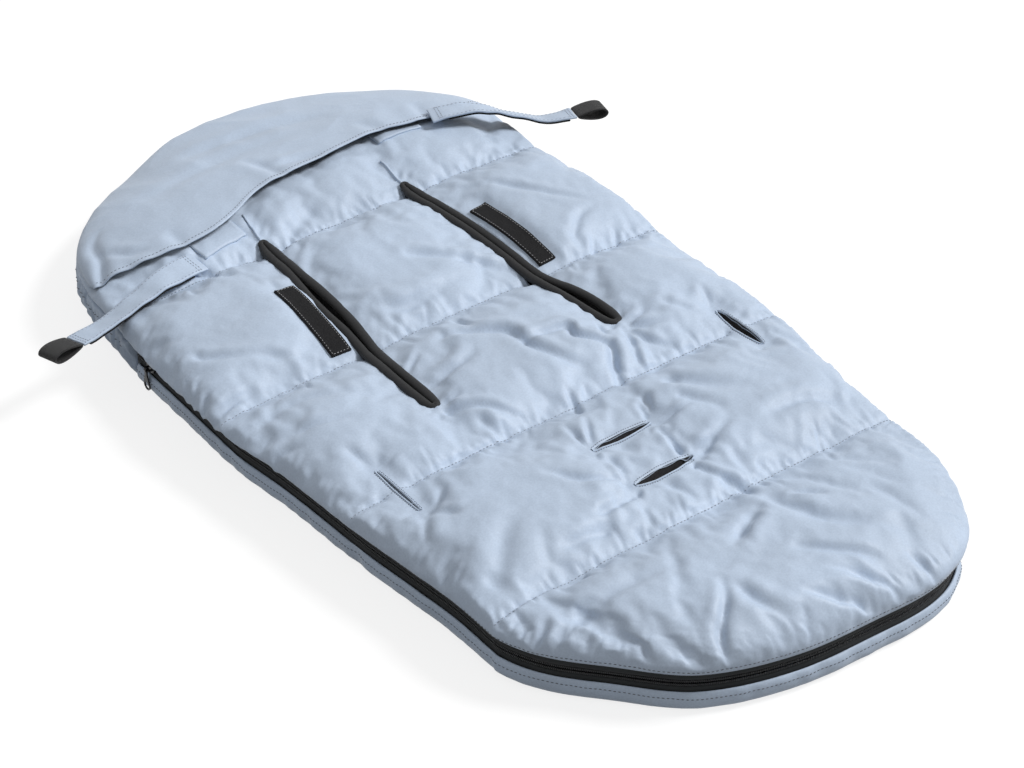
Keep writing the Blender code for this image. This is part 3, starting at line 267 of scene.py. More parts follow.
def seam_gap(y, seams=SEAMS):
    """Distance from y to the nearest cross seam."""
    return min(abs(y - seam) for seam in seams)


def ripple(place, scale, seed):
    """Smooth noise from -1 to 1 at a place, with the given number of swells in a metre."""
    return noise.noise(Vector((place[0] * scale, place[1] * scale, place[2] * scale + seed)))


def zip_inset(y):
    """How far the zip lies inside the outline: little at the foot, more along the sides."""
    rise = clamped((y - FOOT_Y) / (ZIP_STRAIGHT_Y - FOOT_Y))
    return ZIP_FOOT_INSET + (ZIP_SIDE_INSET - ZIP_FOOT_INSET) * rise


def rim_reach(c, s, power):
    """Distance of a superellipse's rim in the direction (c, s)."""
    return (abs(c) ** power + abs(s) ** power) ** (-1 / power)


def zip_path(share):
    """Plan point of the zip for a share of its run: left top, round the foot, right top."""
    side_run = ZIP_TOP_Y - SEAM_FOOT
    arc_share = FOOT_DEPTH * math.pi / (FOOT_DEPTH * math.pi + 2 * side_run)
    side_share = (1 - arc_share) / 2
    straight = half_width(ZIP_STRAIGHT_Y) - ZIP_SIDE_INSET

    def side_x(y):
        if y > ZIP_STRAIGHT_Y:
            return straight
        return half_width(y) - zip_inset(y)

    if share < side_share or share > 1 - side_share:
        right = share > 0.5
        down = (1 - share) / side_share if right else share / side_share
        y = ZIP_TOP_Y - side_run * down
        return Vector(((1 if right else -1) * side_x(y), y))
    angle = (share - side_share) / arc_share * math.pi
    c = -math.cos(angle)
    s = math.sin(angle)
    reach = rim_reach(c, s, FOOT_POWER)
    y = SEAM_FOOT - (FOOT_DEPTH - ZIP_FOOT_INSET) * s * reach
    return Vector((side_x(SEAM_FOOT) * c * reach + sway(y), y))


def outward(points, turn):
    """Way out at each point of a line: to the right of its run for a turn of 1, to the left for -1."""
    last = len(points) - 1
    outs = []
    for k in range(last + 1):
        step = (points[min(k + 1, last)] - points[max(k - 1, 0)]).normalized()
        outs.append(Vector((turn * step.y, -turn * step.x)))
    return outs


ZIP_LINE = [zip_path(k / ZIP_STEPS) for k in range(ZIP_STEPS + 1)]
ZIP_OUT = outward(ZIP_LINE, 1)


def by_zip(share, scale, away):
    """Plan point beside the zip, moved out by away, then drawn in to the middle of the muff by scale."""
    k = round(share * ZIP_STEPS)
    spot = ZIP_LINE[k] + ZIP_OUT[k] * away
    y = SEAM_FOOT + (spot.y - SEAM_FOOT) * scale if spot.y < SEAM_FOOT else spot.y
    return sway(y) + (spot.x - sway(spot.y)) * scale, y


def shaped(cells, place, weld=False, span=(1.0, 1.0), straight=True):
    """Grid with each point put where place(u, v) says, for u and v from 0 to 1.

    Places on the straight muff are laid as the muff lies. The span is the cloth's size for its pattern.
    """
    work = bmesh.new()
    bmesh.ops.create_grid(work, x_segments=cells[0], y_segments=cells[1], size=1.0)
    cloth = work.loops.layers.uv.new("cloth")
    for face in work.faces:
        for loop in face.loops:
            loop[cloth].uv = ((loop.vert.co.x + 1) / 2 * span[0], (loop.vert.co.y + 1) / 2 * span[1])
    for vert in work.verts:
        spot = place((vert.co.x + 1) / 2, (vert.co.y + 1) / 2)
        vert.co = lay(spot) if straight else spot
    if weld:
        bmesh.ops.remove_doubles(work, verts=work.verts, dist=WELD)
    bmesh.ops.recalc_face_normals(work, faces=work.faces)
    return work


def close_ends(work):
    """Fills the open ends of a shape and turns its faces outward."""
    bmesh.ops.holes_fill(work, edges=[edge for edge in work.edges if edge.is_boundary], sides=0)
    bmesh.ops.recalc_face_normals(work, faces=work.faces)


def face_up(work):
    """Turns the faces of a sheet up."""
    if sum(face.normal.z for face in work.faces) < 0:
        bmesh.ops.reverse_faces(work, faces=work.faces)


def new_piece(name, work, body, look, slot, subdivide=0):
    """Object for a finished bmesh, with its material, riding on a body."""
    mesh = bpy.data.meshes.new(name)
    work.to_mesh(mesh)
    work.free()
    mesh.materials.append(look)
    mesh.shade_smooth()
    piece = bpy.data.objects.new(name, mesh)
    scene.collection.objects.link(piece)
    if subdivide:
        smooth = piece.modifiers.new("smooth", "SUBSURF")
        smooth.levels = subdivide
        smooth.render_levels = subdivide
    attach(piece, body)
    return piece


def padded_piece(name, work, body, look, slot, node, subdivide=0):
    """Piece of a padded part, in the place of a node, which is hidden."""
    piece = new_piece(name, work, body, look, slot, subdivide)
    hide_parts(node)
    return piece


def thicken(piece, thickness, offset):
    """Gives a sheet its thickness: under it for an offset of -1, on both sides for 0."""
    wall = piece.modifiers.new("thickness", "SOLIDIFY")
    wall.thickness = thickness
    wall.offset = offset
    return wall


def new_look(name, color, roughness):
    """Material with a Principled shader, its tree, and Object coordinates for its patterns."""
    look = bpy.data.materials.new(name)
    look.use_nodes = True
    tree = look.node_tree
    shader = tree.nodes["Principled BSDF"]
    shader.inputs["Base Color"].default_value = (*color, 1.0)
    shader.inputs["Roughness"].default_value = roughness
    spots = tree.nodes.new("ShaderNodeTexCoord")
    return look, tree, shader, spots.outputs["Object"]


def noise_node(tree, coords, scale, detail, kind="FBM"):
    """Output of a noise pattern with the given number of swells in a metre."""
    pattern = tree.nodes.new("ShaderNodeTexNoise")
    pattern.noise_type = kind
    pattern.inputs["Scale"].default_value = scale
    pattern.inputs["Detail"].default_value = detail
    tree.links.new(coords, pattern.inputs["Vector"])
    return pattern.outputs["Fac"]


def tinted(tree, fac, dark, light, start=0.3, end=0.7):
    """Colour between dark and light by a pattern."""
    ramp = tree.nodes.new("ShaderNodeValToRGB")
    ramp.color_ramp.elements[0].position = start
    ramp.color_ramp.elements[0].color = (*dark, 1.0)
    ramp.color_ramp.elements[1].position = end
    ramp.color_ramp.elements[1].color = (*light, 1.0)
    tree.links.new(fac, ramp.inputs["Fac"])
    return ramp.outputs["Color"]


def multiplied(tree, first, second):
    """Product of two colours."""
    mix = tree.nodes.new("ShaderNodeMix")
    mix.data_type = "RGBA"
    mix.blend_type = "MULTIPLY"
    mix.inputs["Factor"].default_value = 1.0
    tree.links.new(first, mix.inputs[6])
    tree.links.new(second, mix.inputs[7])
    return mix.outputs[2]


def raised(tree, height, strength, distance, before=None):
    """Normal with a bump from a pattern, on top of an earlier one."""
    bump = tree.nodes.new("ShaderNodeBump")
    bump.inputs["Strength"].default_value = strength
    bump.inputs["Distance"].default_value = distance
    tree.links.new(height, bump.inputs["Height"])
    if before is not None:
        tree.links.new(before, bump.inputs["Normal"])
    return bump.outputs["Normal"]


SHELL_COLOR = (0.482, 0.576, 0.712)
SHELL_DARK = (0.440, 0.522, 0.640)


def shell_look():
    """Reflective polyester: pale blue-grey with a fine sparkle, and sharp small creases."""
    look, tree, shader, coords = new_look("shell_fabric", SHELL_COLOR, 0.54)
    cloud = tinted(tree, noise_node(tree, coords, 11.0, 3.0), SHELL_DARK, SHELL_COLOR)
    grain = tinted(tree, noise_node(tree, coords, 620.0, 2.0), (0.94, 0.94, 0.945), (1.05, 1.05, 1.05))
    tree.links.new(multiplied(tree, cloud, grain), shader.inputs["Base Color"])
    soft = raised(tree, noise_node(tree, coords, 26.0, 4.0), 0.55, 0.0034)
    sharp = raised(tree, noise_node(tree, coords, 21.0, 3.0, "RIDGED_MULTIFRACTAL"), 0.60, 0.0020, soft)
    crease = raised(tree, noise_node(tree, coords, 60.0, 2.0, "RIDGED_MULTIFRACTAL"), 0.30, 0.0006, sharp)
    weave = raised(tree, noise_node(tree, coords, 1500.0, 1.0), 0.25, 0.00012, crease)
    tree.links.new(weave, shader.inputs["Normal"])
    shader.inputs["Sheen Weight"].default_value = 0.12
    shader.inputs["Sheen Roughness"].default_value = 0.4
    shader.inputs["Specular IOR Level"].default_value = 0.38
    return look


SHINE = {"sheen": "Sheen Weight", "specular": "Specular IOR Level", "metallic": "Metallic"}


def noise_of(scale, detail):
    """Pattern of small swells, for patterned()."""
    return lambda tree, coords: noise_node(tree, coords, scale, detail)


def ribs_of(direction, scale, distortion, space="Object"):
    """Pattern of woven ribs, for patterned()."""
    def ribs(tree, coords):
        wave = tree.nodes.new("ShaderNodeTexWave")
        wave.wave_type = "BANDS"
        wave.bands_direction = direction
        wave.inputs["Scale"].default_value = scale
        wave.inputs["Distortion"].default_value = distortion
        tree.links.new(coords.node.outputs[space], wave.inputs["Vector"])
        return wave.outputs["Fac"]
    return ribs


def patterned(name, color, roughness, pattern, shades, bump, under=None, over=None, ramp=(0.3, 0.7), **shine):
    """Material with one pattern for its shades, dark and light, and for its bump, a strength and a distance.

    A noise bump may lie under it or over it, and shine gives the shader's sheen, specular or metallic.
    """
    look, tree, shader, coords = new_look(name, color, roughness)
    fac = pattern(tree, coords)
    tree.links.new(tinted(tree, fac, *shades, *ramp), shader.inputs["Base Color"])
    normal = None
    if under is not None:
        normal = raised(tree, noise_node(tree, coords, *under[:2]), *under[2:])
    normal = raised(tree, fac, *bump, normal)
    if over is not None:
        normal = raised(tree, noise_node(tree, coords, *over[:2]), *over[2:], normal)
    tree.links.new(normal, shader.inputs["Normal"])
    for key, value in shine.items():
        shader.inputs[SHINE[key]].default_value = value
    return look


def thread_look(name, color):
    """Sewing thread, with a fine twist."""
    dark = tuple(0.7 * part for part in color)
    return patterned(name, color, 0.6, noise_of(2500.0, 1.0), (dark, color), (0.4, 0.0002))


SHELL = shell_look()
LINING = patterned(
    "lining_fabric", (0.011, 0.011, 0.013), 0.95, noise_of(420.0, 4.0),
    ((0.008, 0.008, 0.009), (0.019, 0.019, 0.022)), (0.6, 0.0006))
PALE_THREAD = thread_look("pale_thread", (0.40, 0.45, 0.53))
DARK_THREAD = thread_look("dark_thread", (0.11, 0.12, 0.14))
GREY_THREAD = thread_look("grey_thread", (0.42, 0.42, 0.43))


def stitches(name, spots, body, size, look):
    """Row of stitches of a length and width: each spot has a place, the thread's direction and the way up."""
    length, width = size
    work = bmesh.new()
    for place, along, up in spots:
        along = (along - up * along.dot(up)).normalized()
        side = up.cross(along)
        turn = Matrix((along * length / 2, side * width / 2, up * width / 2)).transposed().to_4x4()
        turn.translation = place + up * width * 0.2
        bmesh.ops.create_icosphere(work, subdivisions=1, radius=1.0, matrix=turn)
    return new_piece(name, work, body, look, "shell_fabric")


def surface_of(piece):
    """Search tree of a piece's finished surface."""
    return BVHTree.FromObject(piece, bpy.context.evaluated_depsgraph_get())


SHELL_ROWS = (
    (0.00, 0.0, 0.0182), (0.30, 0.0, 0.0182), (0.60, 0.0, 0.0182), (0.85, 0.0, 0.0182),
    (1.0, -0.0100, 0.0180), (1.0, -0.0030, 0.0168), (1.0, 0.0006, 0.0165), (1.0, 0.0008, 0.0206),
    (1.0, 0.0020, 0.0217), (1.0, 0.0038, 0.0200), (1.0, 0.0048, 0.0150), (1.0, 0.0048, 0.0095),
    (1.0, 0.0036, 0.0055), (1.0, 0.0012, 0.0022), (1.0, -0.0040, 0.0006), (1.0, -0.0160, 0.0),
    (0.80, 0.0, 0.0), (0.60, 0.0, 0.0), (0.30, 0.0, 0.0), (0.00, 0.0, 0.0),
)
SHELL_SEAM_RISE = 0.0060
SHELL_SEAM_REACH = 0.018
SHELL_GATHER = 0.0014


def shell_place(u, v):
    """Place on the shell: u runs along the zip, v from the muff's inside round its edge to the floor."""
    row = round(v * (len(SHELL_ROWS) - 1))
    scale, away, z = SHELL_ROWS[row]
    side = scale == 1.0 and away > 0.003
    spot = ZIP_LINE[round(u * ZIP_STEPS)]
    pucker = noise.noise(Vector((u * 190.0, z * 40.0, 1.0)))
    pucker += 0.6 * noise.noise(Vector((u * 70.0, z * 60.0, 5.0)))
    if side:
        away += SHELL_GATHER * pucker
    x, y = by_zip(u, scale, away)
    nearest = seam_gap(y, SEAMS[:3])
    if z < 0.002:
        z += SHELL_SEAM_RISE * bell(nearest, SHELL_SEAM_REACH)
    elif side and spot.y > SEAM_FOOT:
        x -= math.copysign(0.0020 * bell(nearest, 0.008), x)
    return x, y, z


work = shaped((ZIP_STEPS, len(SHELL_ROWS) - 1), shell_place, weld=True, span=(1.6, 0.3))
close_ends(work)
front_shell = padded_piece("cover_shell", work, "front_cover", SHELL, "shell_fabric", "front_shell", 1)


def lengths_along(line):
    """Distance of each point of a line from its start."""
    return np.array([0.0] + [(b - a).length for a, b in zip(line, line[1:])]).cumsum()


def even_spots(line, first, step):
    """Points at even steps along a line, each with the stretch of the line that it lies on."""
    run = lengths_along(line)
    for distance in np.arange(first, run[-1], step):
        k = int(np.searchsorted(run, distance))
        share = float((distance - run[k - 1]) / (run[k] - run[k - 1]))
        yield line[k - 1].lerp(line[k], share), line[k] - line[k - 1]


STITCH_STEP = 0.0038
ZIP_STITCH = (0.0027, 0.00075)


def along_zip(away, z, tree, step):
    """Spots on a surface at even steps beside the zip."""
    line = [lay((*by_zip(k / ZIP_STEPS, 1.0, away), z)) for k in range(ZIP_STEPS + 1)]
    spots = []
    for place, ahead in even_spots(line, step, step):
        hit = tree.find_nearest(place)
        spots.append((hit[0], ahead, hit[1]))
    return spots


stitches(
    "cover_topstitch", along_zip(0.0048, 0.0155, surface_of(front_shell), STITCH_STEP), "front_cover",
    ZIP_STITCH, DARK_THREAD)

# Front lining: a black brushed lining sheet inside the cover, sewn in along the zip and caught
# down on the quilting seams.
LINING_INSET = 0.009
LINING_SEAM_REACH = 0.012
LINING_ROWS = (
    (0.00, 0.0, 0.0205), (0.25, 0.0, 0.0205), (0.50, 0.0, 0.0205), (0.75, 0.0, 0.0205), (0.90, 0.0, 0.0205),
    (1.0, -0.0110, 0.0203), (1.0, -0.0092, 0.0196), (1.0, -0.0110, 0.0188),
    (0.90, 0.0, 0.0187), (0.60, 0.0, 0.0187), (0.30, 0.0, 0.0187), (0.00, 0.0, 0.0187),
)


def cover_lining_place(u, v):
    scale, away, z = LINING_ROWS[round(v * (len(LINING_ROWS) - 1))]
    x, y = by_zip(u, scale, away)
    drawn = bell(seam_gap(y, SEAMS[:3]), LINING_SEAM_REACH)
    if z > 0.020:
        z += 0.0006 - 0.0014 * drawn + 0.0004 * ripple((x, y, 0.0), 22.0, 3.0)
    y -= LINING_INSET * clamped((y - SEAM_FOOT) / (COVER_TOP_Y - SEAM_FOOT))
    return x, y, z


work = shaped((ZIP_STEPS, len(LINING_ROWS) - 1), cover_lining_place, weld=True, span=(1.6, 0.3))
close_ends(work)
padded_piece("cover_lining", work, "front_cover", LINING, "lining_fabric", "front_lining")

# Cuff: the padded, gathered roll at the cover's free edge, under the child's chin.
# A tube of shell fabric sewn across the end of the cover.
CUFF_DEPTH = 0.013
CUFF_TOP = 0.0167
CUFF_START = COVER_TOP_Y + 0.0003
CUFF_INSET = 0.0275
CUFF_HALF = half_width(COVER_TOP_Y) - CUFF_INSET
CUFF_SECTION = 20


def cuff_place(u, v):
    angle = 2 * math.pi * v
    gather = 0.0007 * noise.noise(Vector((u * 75.0, 0.0, 2.0)))
    x = CUFF_HALF * (2 * u - 1)
    shrink = min(1.0, (1 - abs(2 * u - 1)) * 14 + 0.35)
    y = CUFF_START + CUFF_DEPTH / 2 + (CUFF_DEPTH / 2 - 0.0003 + gather) * math.cos(angle) * shrink
    z = CUFF_TOP / 2 + (CUFF_TOP / 2 - 0.0004 + gather) * math.sin(angle) * shrink
    return x, y, max(z, 0.0)


work = shaped((180, CUFF_SECTION), cuff_place, weld=True, span=(0.4, 0.05))
close_ends(work)
padded_piece("cuff", work, "front_cover", SHELL, "shell_fabric", "cover_cuff", 1)

# Zip tapes: two woven polyester tapes, the lower one sewn to the cover and the upper one to the back.
# Their cut edges are hidden in the topstitched folds of the fabric.
TAPE_THICKNESS = 0.0008
TAPE_ROWS = 6
TAPE_WAVE = 0.0005
TAPE = patterned(
    "zip_tape", (0.020, 0.0235, 0.0255), 0.78, ribs_of("Z", 260.0, 0.6),
    ((0.0075, 0.009, 0.010), (0.017, 0.020, 0.022)), (0.5, 0.0003), over=(900.0, 2.0, 0.4, 0.0002),
    sheen=0.06, specular=0.25)


def zip_tape(name, low, high, body, node):
    def place(u, v):
        z = low + (high - low) * v
        wave = TAPE_WAVE * noise.noise(Vector((u * 60.0, z * 30.0, 7.0)))
        x, y = by_zip(u, 1.0, wave)
        return x, y, z

    work = shaped((ZIP_STEPS, TAPE_ROWS), place, span=(1.6, high - low))
    tape = new_piece(name, work, body, TAPE, "zip_tape")
    thicken(tape, TAPE_THICKNESS, 0.0)
    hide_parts(node)


zip_tape("lower_tape", 0.0170, 0.0262, "front_cover", "zip_tape_lower")
zip_tape("upper_tape", 0.0330, 0.0432, "back", "zip_tape_upper")

# Zip coils: each row is one nylon thread wound into a flattened coil and sewn along its tape.
# The two rows face each other across the slot that the slider's neck runs in.
COIL_PITCH = 0.0015
COIL_HIGH = 0.00095
COIL_DEEP = 0.00080
COIL_WIRE = 0.00042
COIL_TURN_STEPS = 8
COIL_FROM_SLOT = 0.00185
COIL = patterned(
    "zip_coil", (0.020, 0.022, 0.024), 0.34, noise_of(300.0, 2.0),
    ((0.014, 0.015, 0.017), (0.030, 0.033, 0.036)), (0.2, 0.0002))


def zip_coil(name, middle_z, body, node):
    line = [lay((*spot, middle_z)) for spot in ZIP_LINE]
    run = lengths_along(line)
    places = np.array(line)
    outs = np.array([(*out, 0.0) for out in ZIP_OUT])
    count = round(run[-1] / COIL_PITCH) * COIL_TURN_STEPS
    distances = np.linspace(0.0, run[-1], count + 1)
    turns = 2 * math.pi * np.arange(count + 1) / COIL_TURN_STEPS
    points = np.stack([np.interp(distances, run, places[:, k]) for k in range(3)], axis=1)
    outward = np.stack([np.interp(distances, run, outs[:, k]) for k in range(3)], axis=1)
    points += outward * (COIL_DEEP * np.cos(turns))[:, None]
    points[:, 2] += COIL_HIGH * np.sin(turns)
    curve = bpy.data.curves.new(name, "CURVE")
    curve.dimensions = "3D"
    curve.bevel_depth = COIL_WIRE
    curve.bevel_resolution = 0
    curve.use_fill_caps = True
    spline = curve.splines.new("POLY")
    spline.points.add(count)
    spline.points.foreach_set("co", np.c_[points, np.ones(count + 1)].ravel())
    shape = bpy.data.objects.new(name, curve)
    scene.collection.objects.link(shape)
    mesh = bpy.data.meshes.new_from_object(shape.evaluated_get(bpy.context.evaluated_depsgraph_get()))
    bpy.data.objects.remove(shape)
    work = bmesh.new()
    work.from_mesh(mesh)
    bmesh.ops.remove_doubles(work, verts=work.verts, dist=WELD)
    bpy.data.meshes.remove(mesh)
    coil = new_piece(name, work, body, COIL, "zip_coil")
    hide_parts(node)


zip_coil("lower_coil", ZIP_HEIGHT - COIL_FROM_SLOT, "front_cover", "zip_coil_lower")
zip_coil("upper_coil", ZIP_HEIGHT + COIL_FROM_SLOT, "back", "zip_coil_upper")

# Sliders and pulls: die-cast metal with black paint. A slider's two plates ride on the coils,
# and its pull hangs by an eye on the bridge and ends in a ring.
METAL = patterned(
    "zip_slider", (0.028, 0.028, 0.030), 0.36, noise_of(240.0, 3.0),
    ((0.020, 0.020, 0.022), (0.050, 0.050, 0.054)), (0.15, 0.0002), ramp=(0.45, 0.75), metallic=0.75)
for side_name in ("left", "right"):
    for node_name in ("zip_slider_", "zip_pull_"):
        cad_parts[node_name + side_name].material_slots[0].material = METAL

# Quilted back: one sheet of the reflective polyester over wadding, sewn down along four cross seams,
# round the slits and to the upper tape. Its fullness makes the puckers and folds.
EDGE_Z = 0.0510
SEAM_Z = 0.0580
CROWN = 0.0130
CROWN_REACH = 0.062
EDGE_POWER = 5
BACK_LOW = 0.0430
PANEL_CELL = 0.0046
SLIT_TOP_Y = SEAM_BACK + 0.0170
SLIT_LOW_Y = SEAM_HIP - 0.1060
SLIT_LOW_X = 0.0986
SLIT_PATH_SHARES = ((0.00, 1.000), (0.19, 0.975), (0.42, 0.905), (0.63, 0.875), (0.85, 0.825), (1.00, 0.800))
HIP_X = 0.184
HIP_Y = SEAM_LEG - 0.0015
CROTCH_REAR_Y = SEAM_LEG - 0.062
CROTCH_YS = (CROTCH_REAR_Y - 0.057, CROTCH_REAR_Y)
SMALL_SLIT = 0.060
SEWN_PAST = 0.004
SEWN_BESIDE_LONG = 0.0085
SEWN_SMALL = SMALL_SLIT / 2 + 0.003
SEWN_BESIDE = 0.0050
HEAD_HELD_Y = 0.325
HEM_HELD = 0.0030
SLIT_DIP = 0.0045
SLIT_DIP_REACH = 0.022
SMALL_DIP = 0.0040
SMALL_DIP_REACH = 0.016
SIM_FRAMES = 24
SIM_CAP = 0.008
CLOTH = (
    ("quality", 6), ("mass", 0.15), ("tension_stiffness", 25.0), ("compression_stiffness", 25.0),
    ("shear_stiffness", 8.0), ("bending_stiffness", 0.25), ("air_damping", 2.0),
    ("vertex_group_mass", "sewn"), ("uniform_pressure_force", 1.6), ("shrink_min", -0.030),
)


def slit_x(y):
    """Distance of a harness slit's middle line from the centre at y."""
    along = (y - SLIT_LOW_Y) / (SLIT_TOP_Y - SLIT_LOW_Y)
    return SLIT_LOW_X * smooth_table(SLIT_PATH_SHARES, along)


def slit_dip(x, y):
    """How far the top is drawn down beside the slits."""
    past = max(SLIT_LOW_Y - y, y - SLIT_TOP_Y, 0.0)
    dip = SLIT_DIP * bell(abs(x) - slit_x(y), SLIT_DIP_REACH) * bell(past, SLIT_DIP_REACH)
    spots = [(abs(x) - HIP_X, max(abs(y - HIP_Y) - SMALL_SLIT / 2, 0.0))]
    spots += [(y - crotch_y, max(abs(x) - SMALL_SLIT / 2, 0.0)) for crotch_y in CROTCH_YS]
    for aside, past in spots:
        dip += SMALL_DIP * bell(aside, SMALL_DIP_REACH) * bell(past, SMALL_DIP_REACH)
    return dip


def edge_rise(x, y):
    """1 in the middle of the back, 0 at its edge."""
    return math.sqrt(max(1 - edge_share(x, y) ** EDGE_POWER, 0.0))


def panel_top(x, y, seams=SEAMS, crown=CROWN):
    """Height of the quilted back in the frame, before its cloth settles."""
    rest = 1 - min(seam_gap(y, seams) / CROWN_REACH, 1.0)
    inner = SEAM_Z + crown * math.sqrt(1 - rest ** 2) - slit_dip(x, y)
    return EDGE_Z + (inner - EDGE_Z) * edge_rise(x, y)


def half_disc(u, v, power):
    """Point of a half disc with a superellipse rim: v = 0 is its straight side, v = 1 its far rim."""
    x = u * math.sqrt(1 - v * v / 2)
    y = v * math.sqrt(1 - u * u / 2)
    radius = math.hypot(x, y)
    if radius == 0:
        return 0.0, 0.0
    reach = rim_reach(x / radius, y / radius, power)
    return x * reach, y * reach


def panel_rows(cell):
    """Rows of cells from the foot, so that each cross seam lies on a line of the grid."""
    stretches = []
    for low_y, high_y in zip(SEAMS, (*SEAMS[1:], HEAD_BASE)):
        stretches.append((low_y, high_y, max(round((high_y - low_y) / cell), 2)))
    foot = round(FOOT_DEPTH / cell)
    head = round(HEAD_DEPTH / cell)
    total = foot + head + sum(rows for low_y, high_y, rows in stretches)
    return foot, stretches, head, total


def panel_point(u, row, rows):
    """Plan point of the back for a share across, from -1 to 1, and a row counted from the foot."""
    foot, stretches, head, total = rows
    if row <= foot:
        x, y = half_disc(u, 1 - row / foot, FOOT_POWER)
        y_row = SEAM_FOOT - FOOT_DEPTH * y
        return half_width(SEAM_FOOT) * x + sway(y_row), y_row
    row -= foot
    for low_y, high_y, count in stretches:
        if row <= count:
            y = low_y + (high_y - low_y) * row / count
            return u * half_width(y), y
        row -= count
    x, y = half_disc(u, row / head, HEAD_POWER)
    return half_width(HEAD_BASE) * x, HEAD_BASE + HEAD_DEPTH * y


def drawn_in(x, y, inset):
    """Plan point moved in from the outline towards the middle by about the inset."""
    scale = 1 - inset / (MUFF_WIDTH / 2)
    mid = sway(y)
    if y < SEAM_FOOT:
        return mid + (x - mid) * scale, SEAM_FOOT + (y - SEAM_FOOT) * scale
    if y > HEAD_BASE:
        return x * scale, HEAD_BASE + (y - HEAD_BASE) * scale
    return x * scale, y


def straightened(x, y):
    """Plan point of the straight muff for one of the laid muff, between the foot and head seams."""
    y -= LAID_Y
    lean = smooth_table(LEAN_SHARES, (y - FOOT_Y) / MUFF_LENGTH)
    flat = x - LAID_X
    for turn in range(3):
        flat = x - LAID_X - MUFF_WIDTH * lean * (1 + edge_share(flat, y) ** 2) / 2
    return flat, y


def settle(piece, pinned):
    """Lets the piece settle as cloth with the pinned points held, and caps how far a point may move."""
    start = np.array([vert.co for vert in piece.data.vertices])
    group = piece.vertex_groups.new(name="sewn")
    group.add(pinned, 1.0, "REPLACE")
    cloth = piece.modifiers.new("settle", "CLOTH")
    cloth.settings.use_pressure = True
    for key, value in CLOTH:
        setattr(cloth.settings, key, value)
    cloth.settings.effector_weights.gravity = 0.0
    cloth.collision_settings.use_collision = False
    cloth.point_cache.frame_start = 1
    cloth.point_cache.frame_end = SIM_FRAMES
    for step in range(1, SIM_FRAMES + 1):
        scene.frame_set(step)
    settled = piece.evaluated_get(bpy.context.evaluated_depsgraph_get())
    end = np.array([vert.co for vert in settled.data.vertices])
    piece.modifiers.remove(cloth)
    piece.vertex_groups.remove(group)
    scene.frame_set(1)
    move = end - start
    far = np.linalg.norm(move, axis=1)
    scale = np.minimum(1.0, SIM_CAP / np.maximum(far, 1e-9))
    final = start + move * scale[:, None]
    piece.data.vertices.foreach_set("co", final.astype(np.float32).ravel())
    piece.data.update()


rows = panel_rows(PANEL_CELL)
columns = round(MUFF_WIDTH / PANEL_CELL)


def back_place(u, v):
    x, y = panel_point(2 * u - 1, round(v * rows[3]), rows)
    return x, y, panel_top(x, y)


work = shaped((columns, rows[3]), back_place, span=(MUFF_WIDTH, MUFF_LENGTH), straight=False)
hem_edges = [edge for edge in work.edges if edge.is_boundary]
skirt = ((0.0006, 0.0, 0.0470, 0.0484), (0.0, 0.12, 0.0420, 0.0462), (0.0, 0.42, 0.0384, 0.0442),
         (0.0, 0.62, 0.0388, 0.0434), (0.0, 0.80, BACK_LOW, BACK_LOW))
for grow, share, foot_z, side_z in skirt:
    grown = bmesh.ops.extrude_edge_only(work, edges=hem_edges)
    hem_edges = [item for item in grown["geom"] if isinstance(item, bmesh.types.BMEdge) and item.is_boundary]
    for vert in {vert for edge in hem_edges for vert in edge.verts}:
        inset = zip_inset(vert.co.y)
        side = (inset - ZIP_FOOT_INSET) / (ZIP_SIDE_INSET - ZIP_FOOT_INSET)
        x, y = drawn_in(vert.co.x, vert.co.y, share * inset - grow)
        vert.co = (x, y, foot_z + (side_z - foot_z) * side)
bmesh.ops.recalc_face_normals(work, faces=work.faces)
sewn = []
for vert in work.verts:
    x, y, z = vert.co
    on_seam = seam_gap(y) < 0.0008
    near_slit = SLIT_LOW_Y - SEWN_PAST < y < SLIT_TOP_Y + SEWN_PAST
    near_slit = near_slit and abs(abs(x) - slit_x(y)) < SEWN_BESIDE_LONG
    near_hip = abs(y - HIP_Y) < SEWN_SMALL and abs(abs(x) - HIP_X) < SEWN_BESIDE
    near_crotch = abs(x) < SEWN_SMALL and seam_gap(y, CROTCH_YS) < SEWN_BESIDE
    if on_seam or near_slit or near_hip or near_crotch or y > HEAD_HELD_Y or z < BACK_LOW + HEM_HELD:
        sewn.append(vert.index)
    if z > EDGE_Z - 0.001:
        swell = ripple((x, y * 1.3, 0.0), 30.0, 0.3) + 0.5 * ripple((x, y, 0.0), 80.0, 4.0)
        z += 0.0010 * swell
    vert.co = lay((x, y, z))
work.verts.index_update()
back = new_piece("quilted_back", work, "back", SHELL, "shell_fabric")
settle(back, sewn)

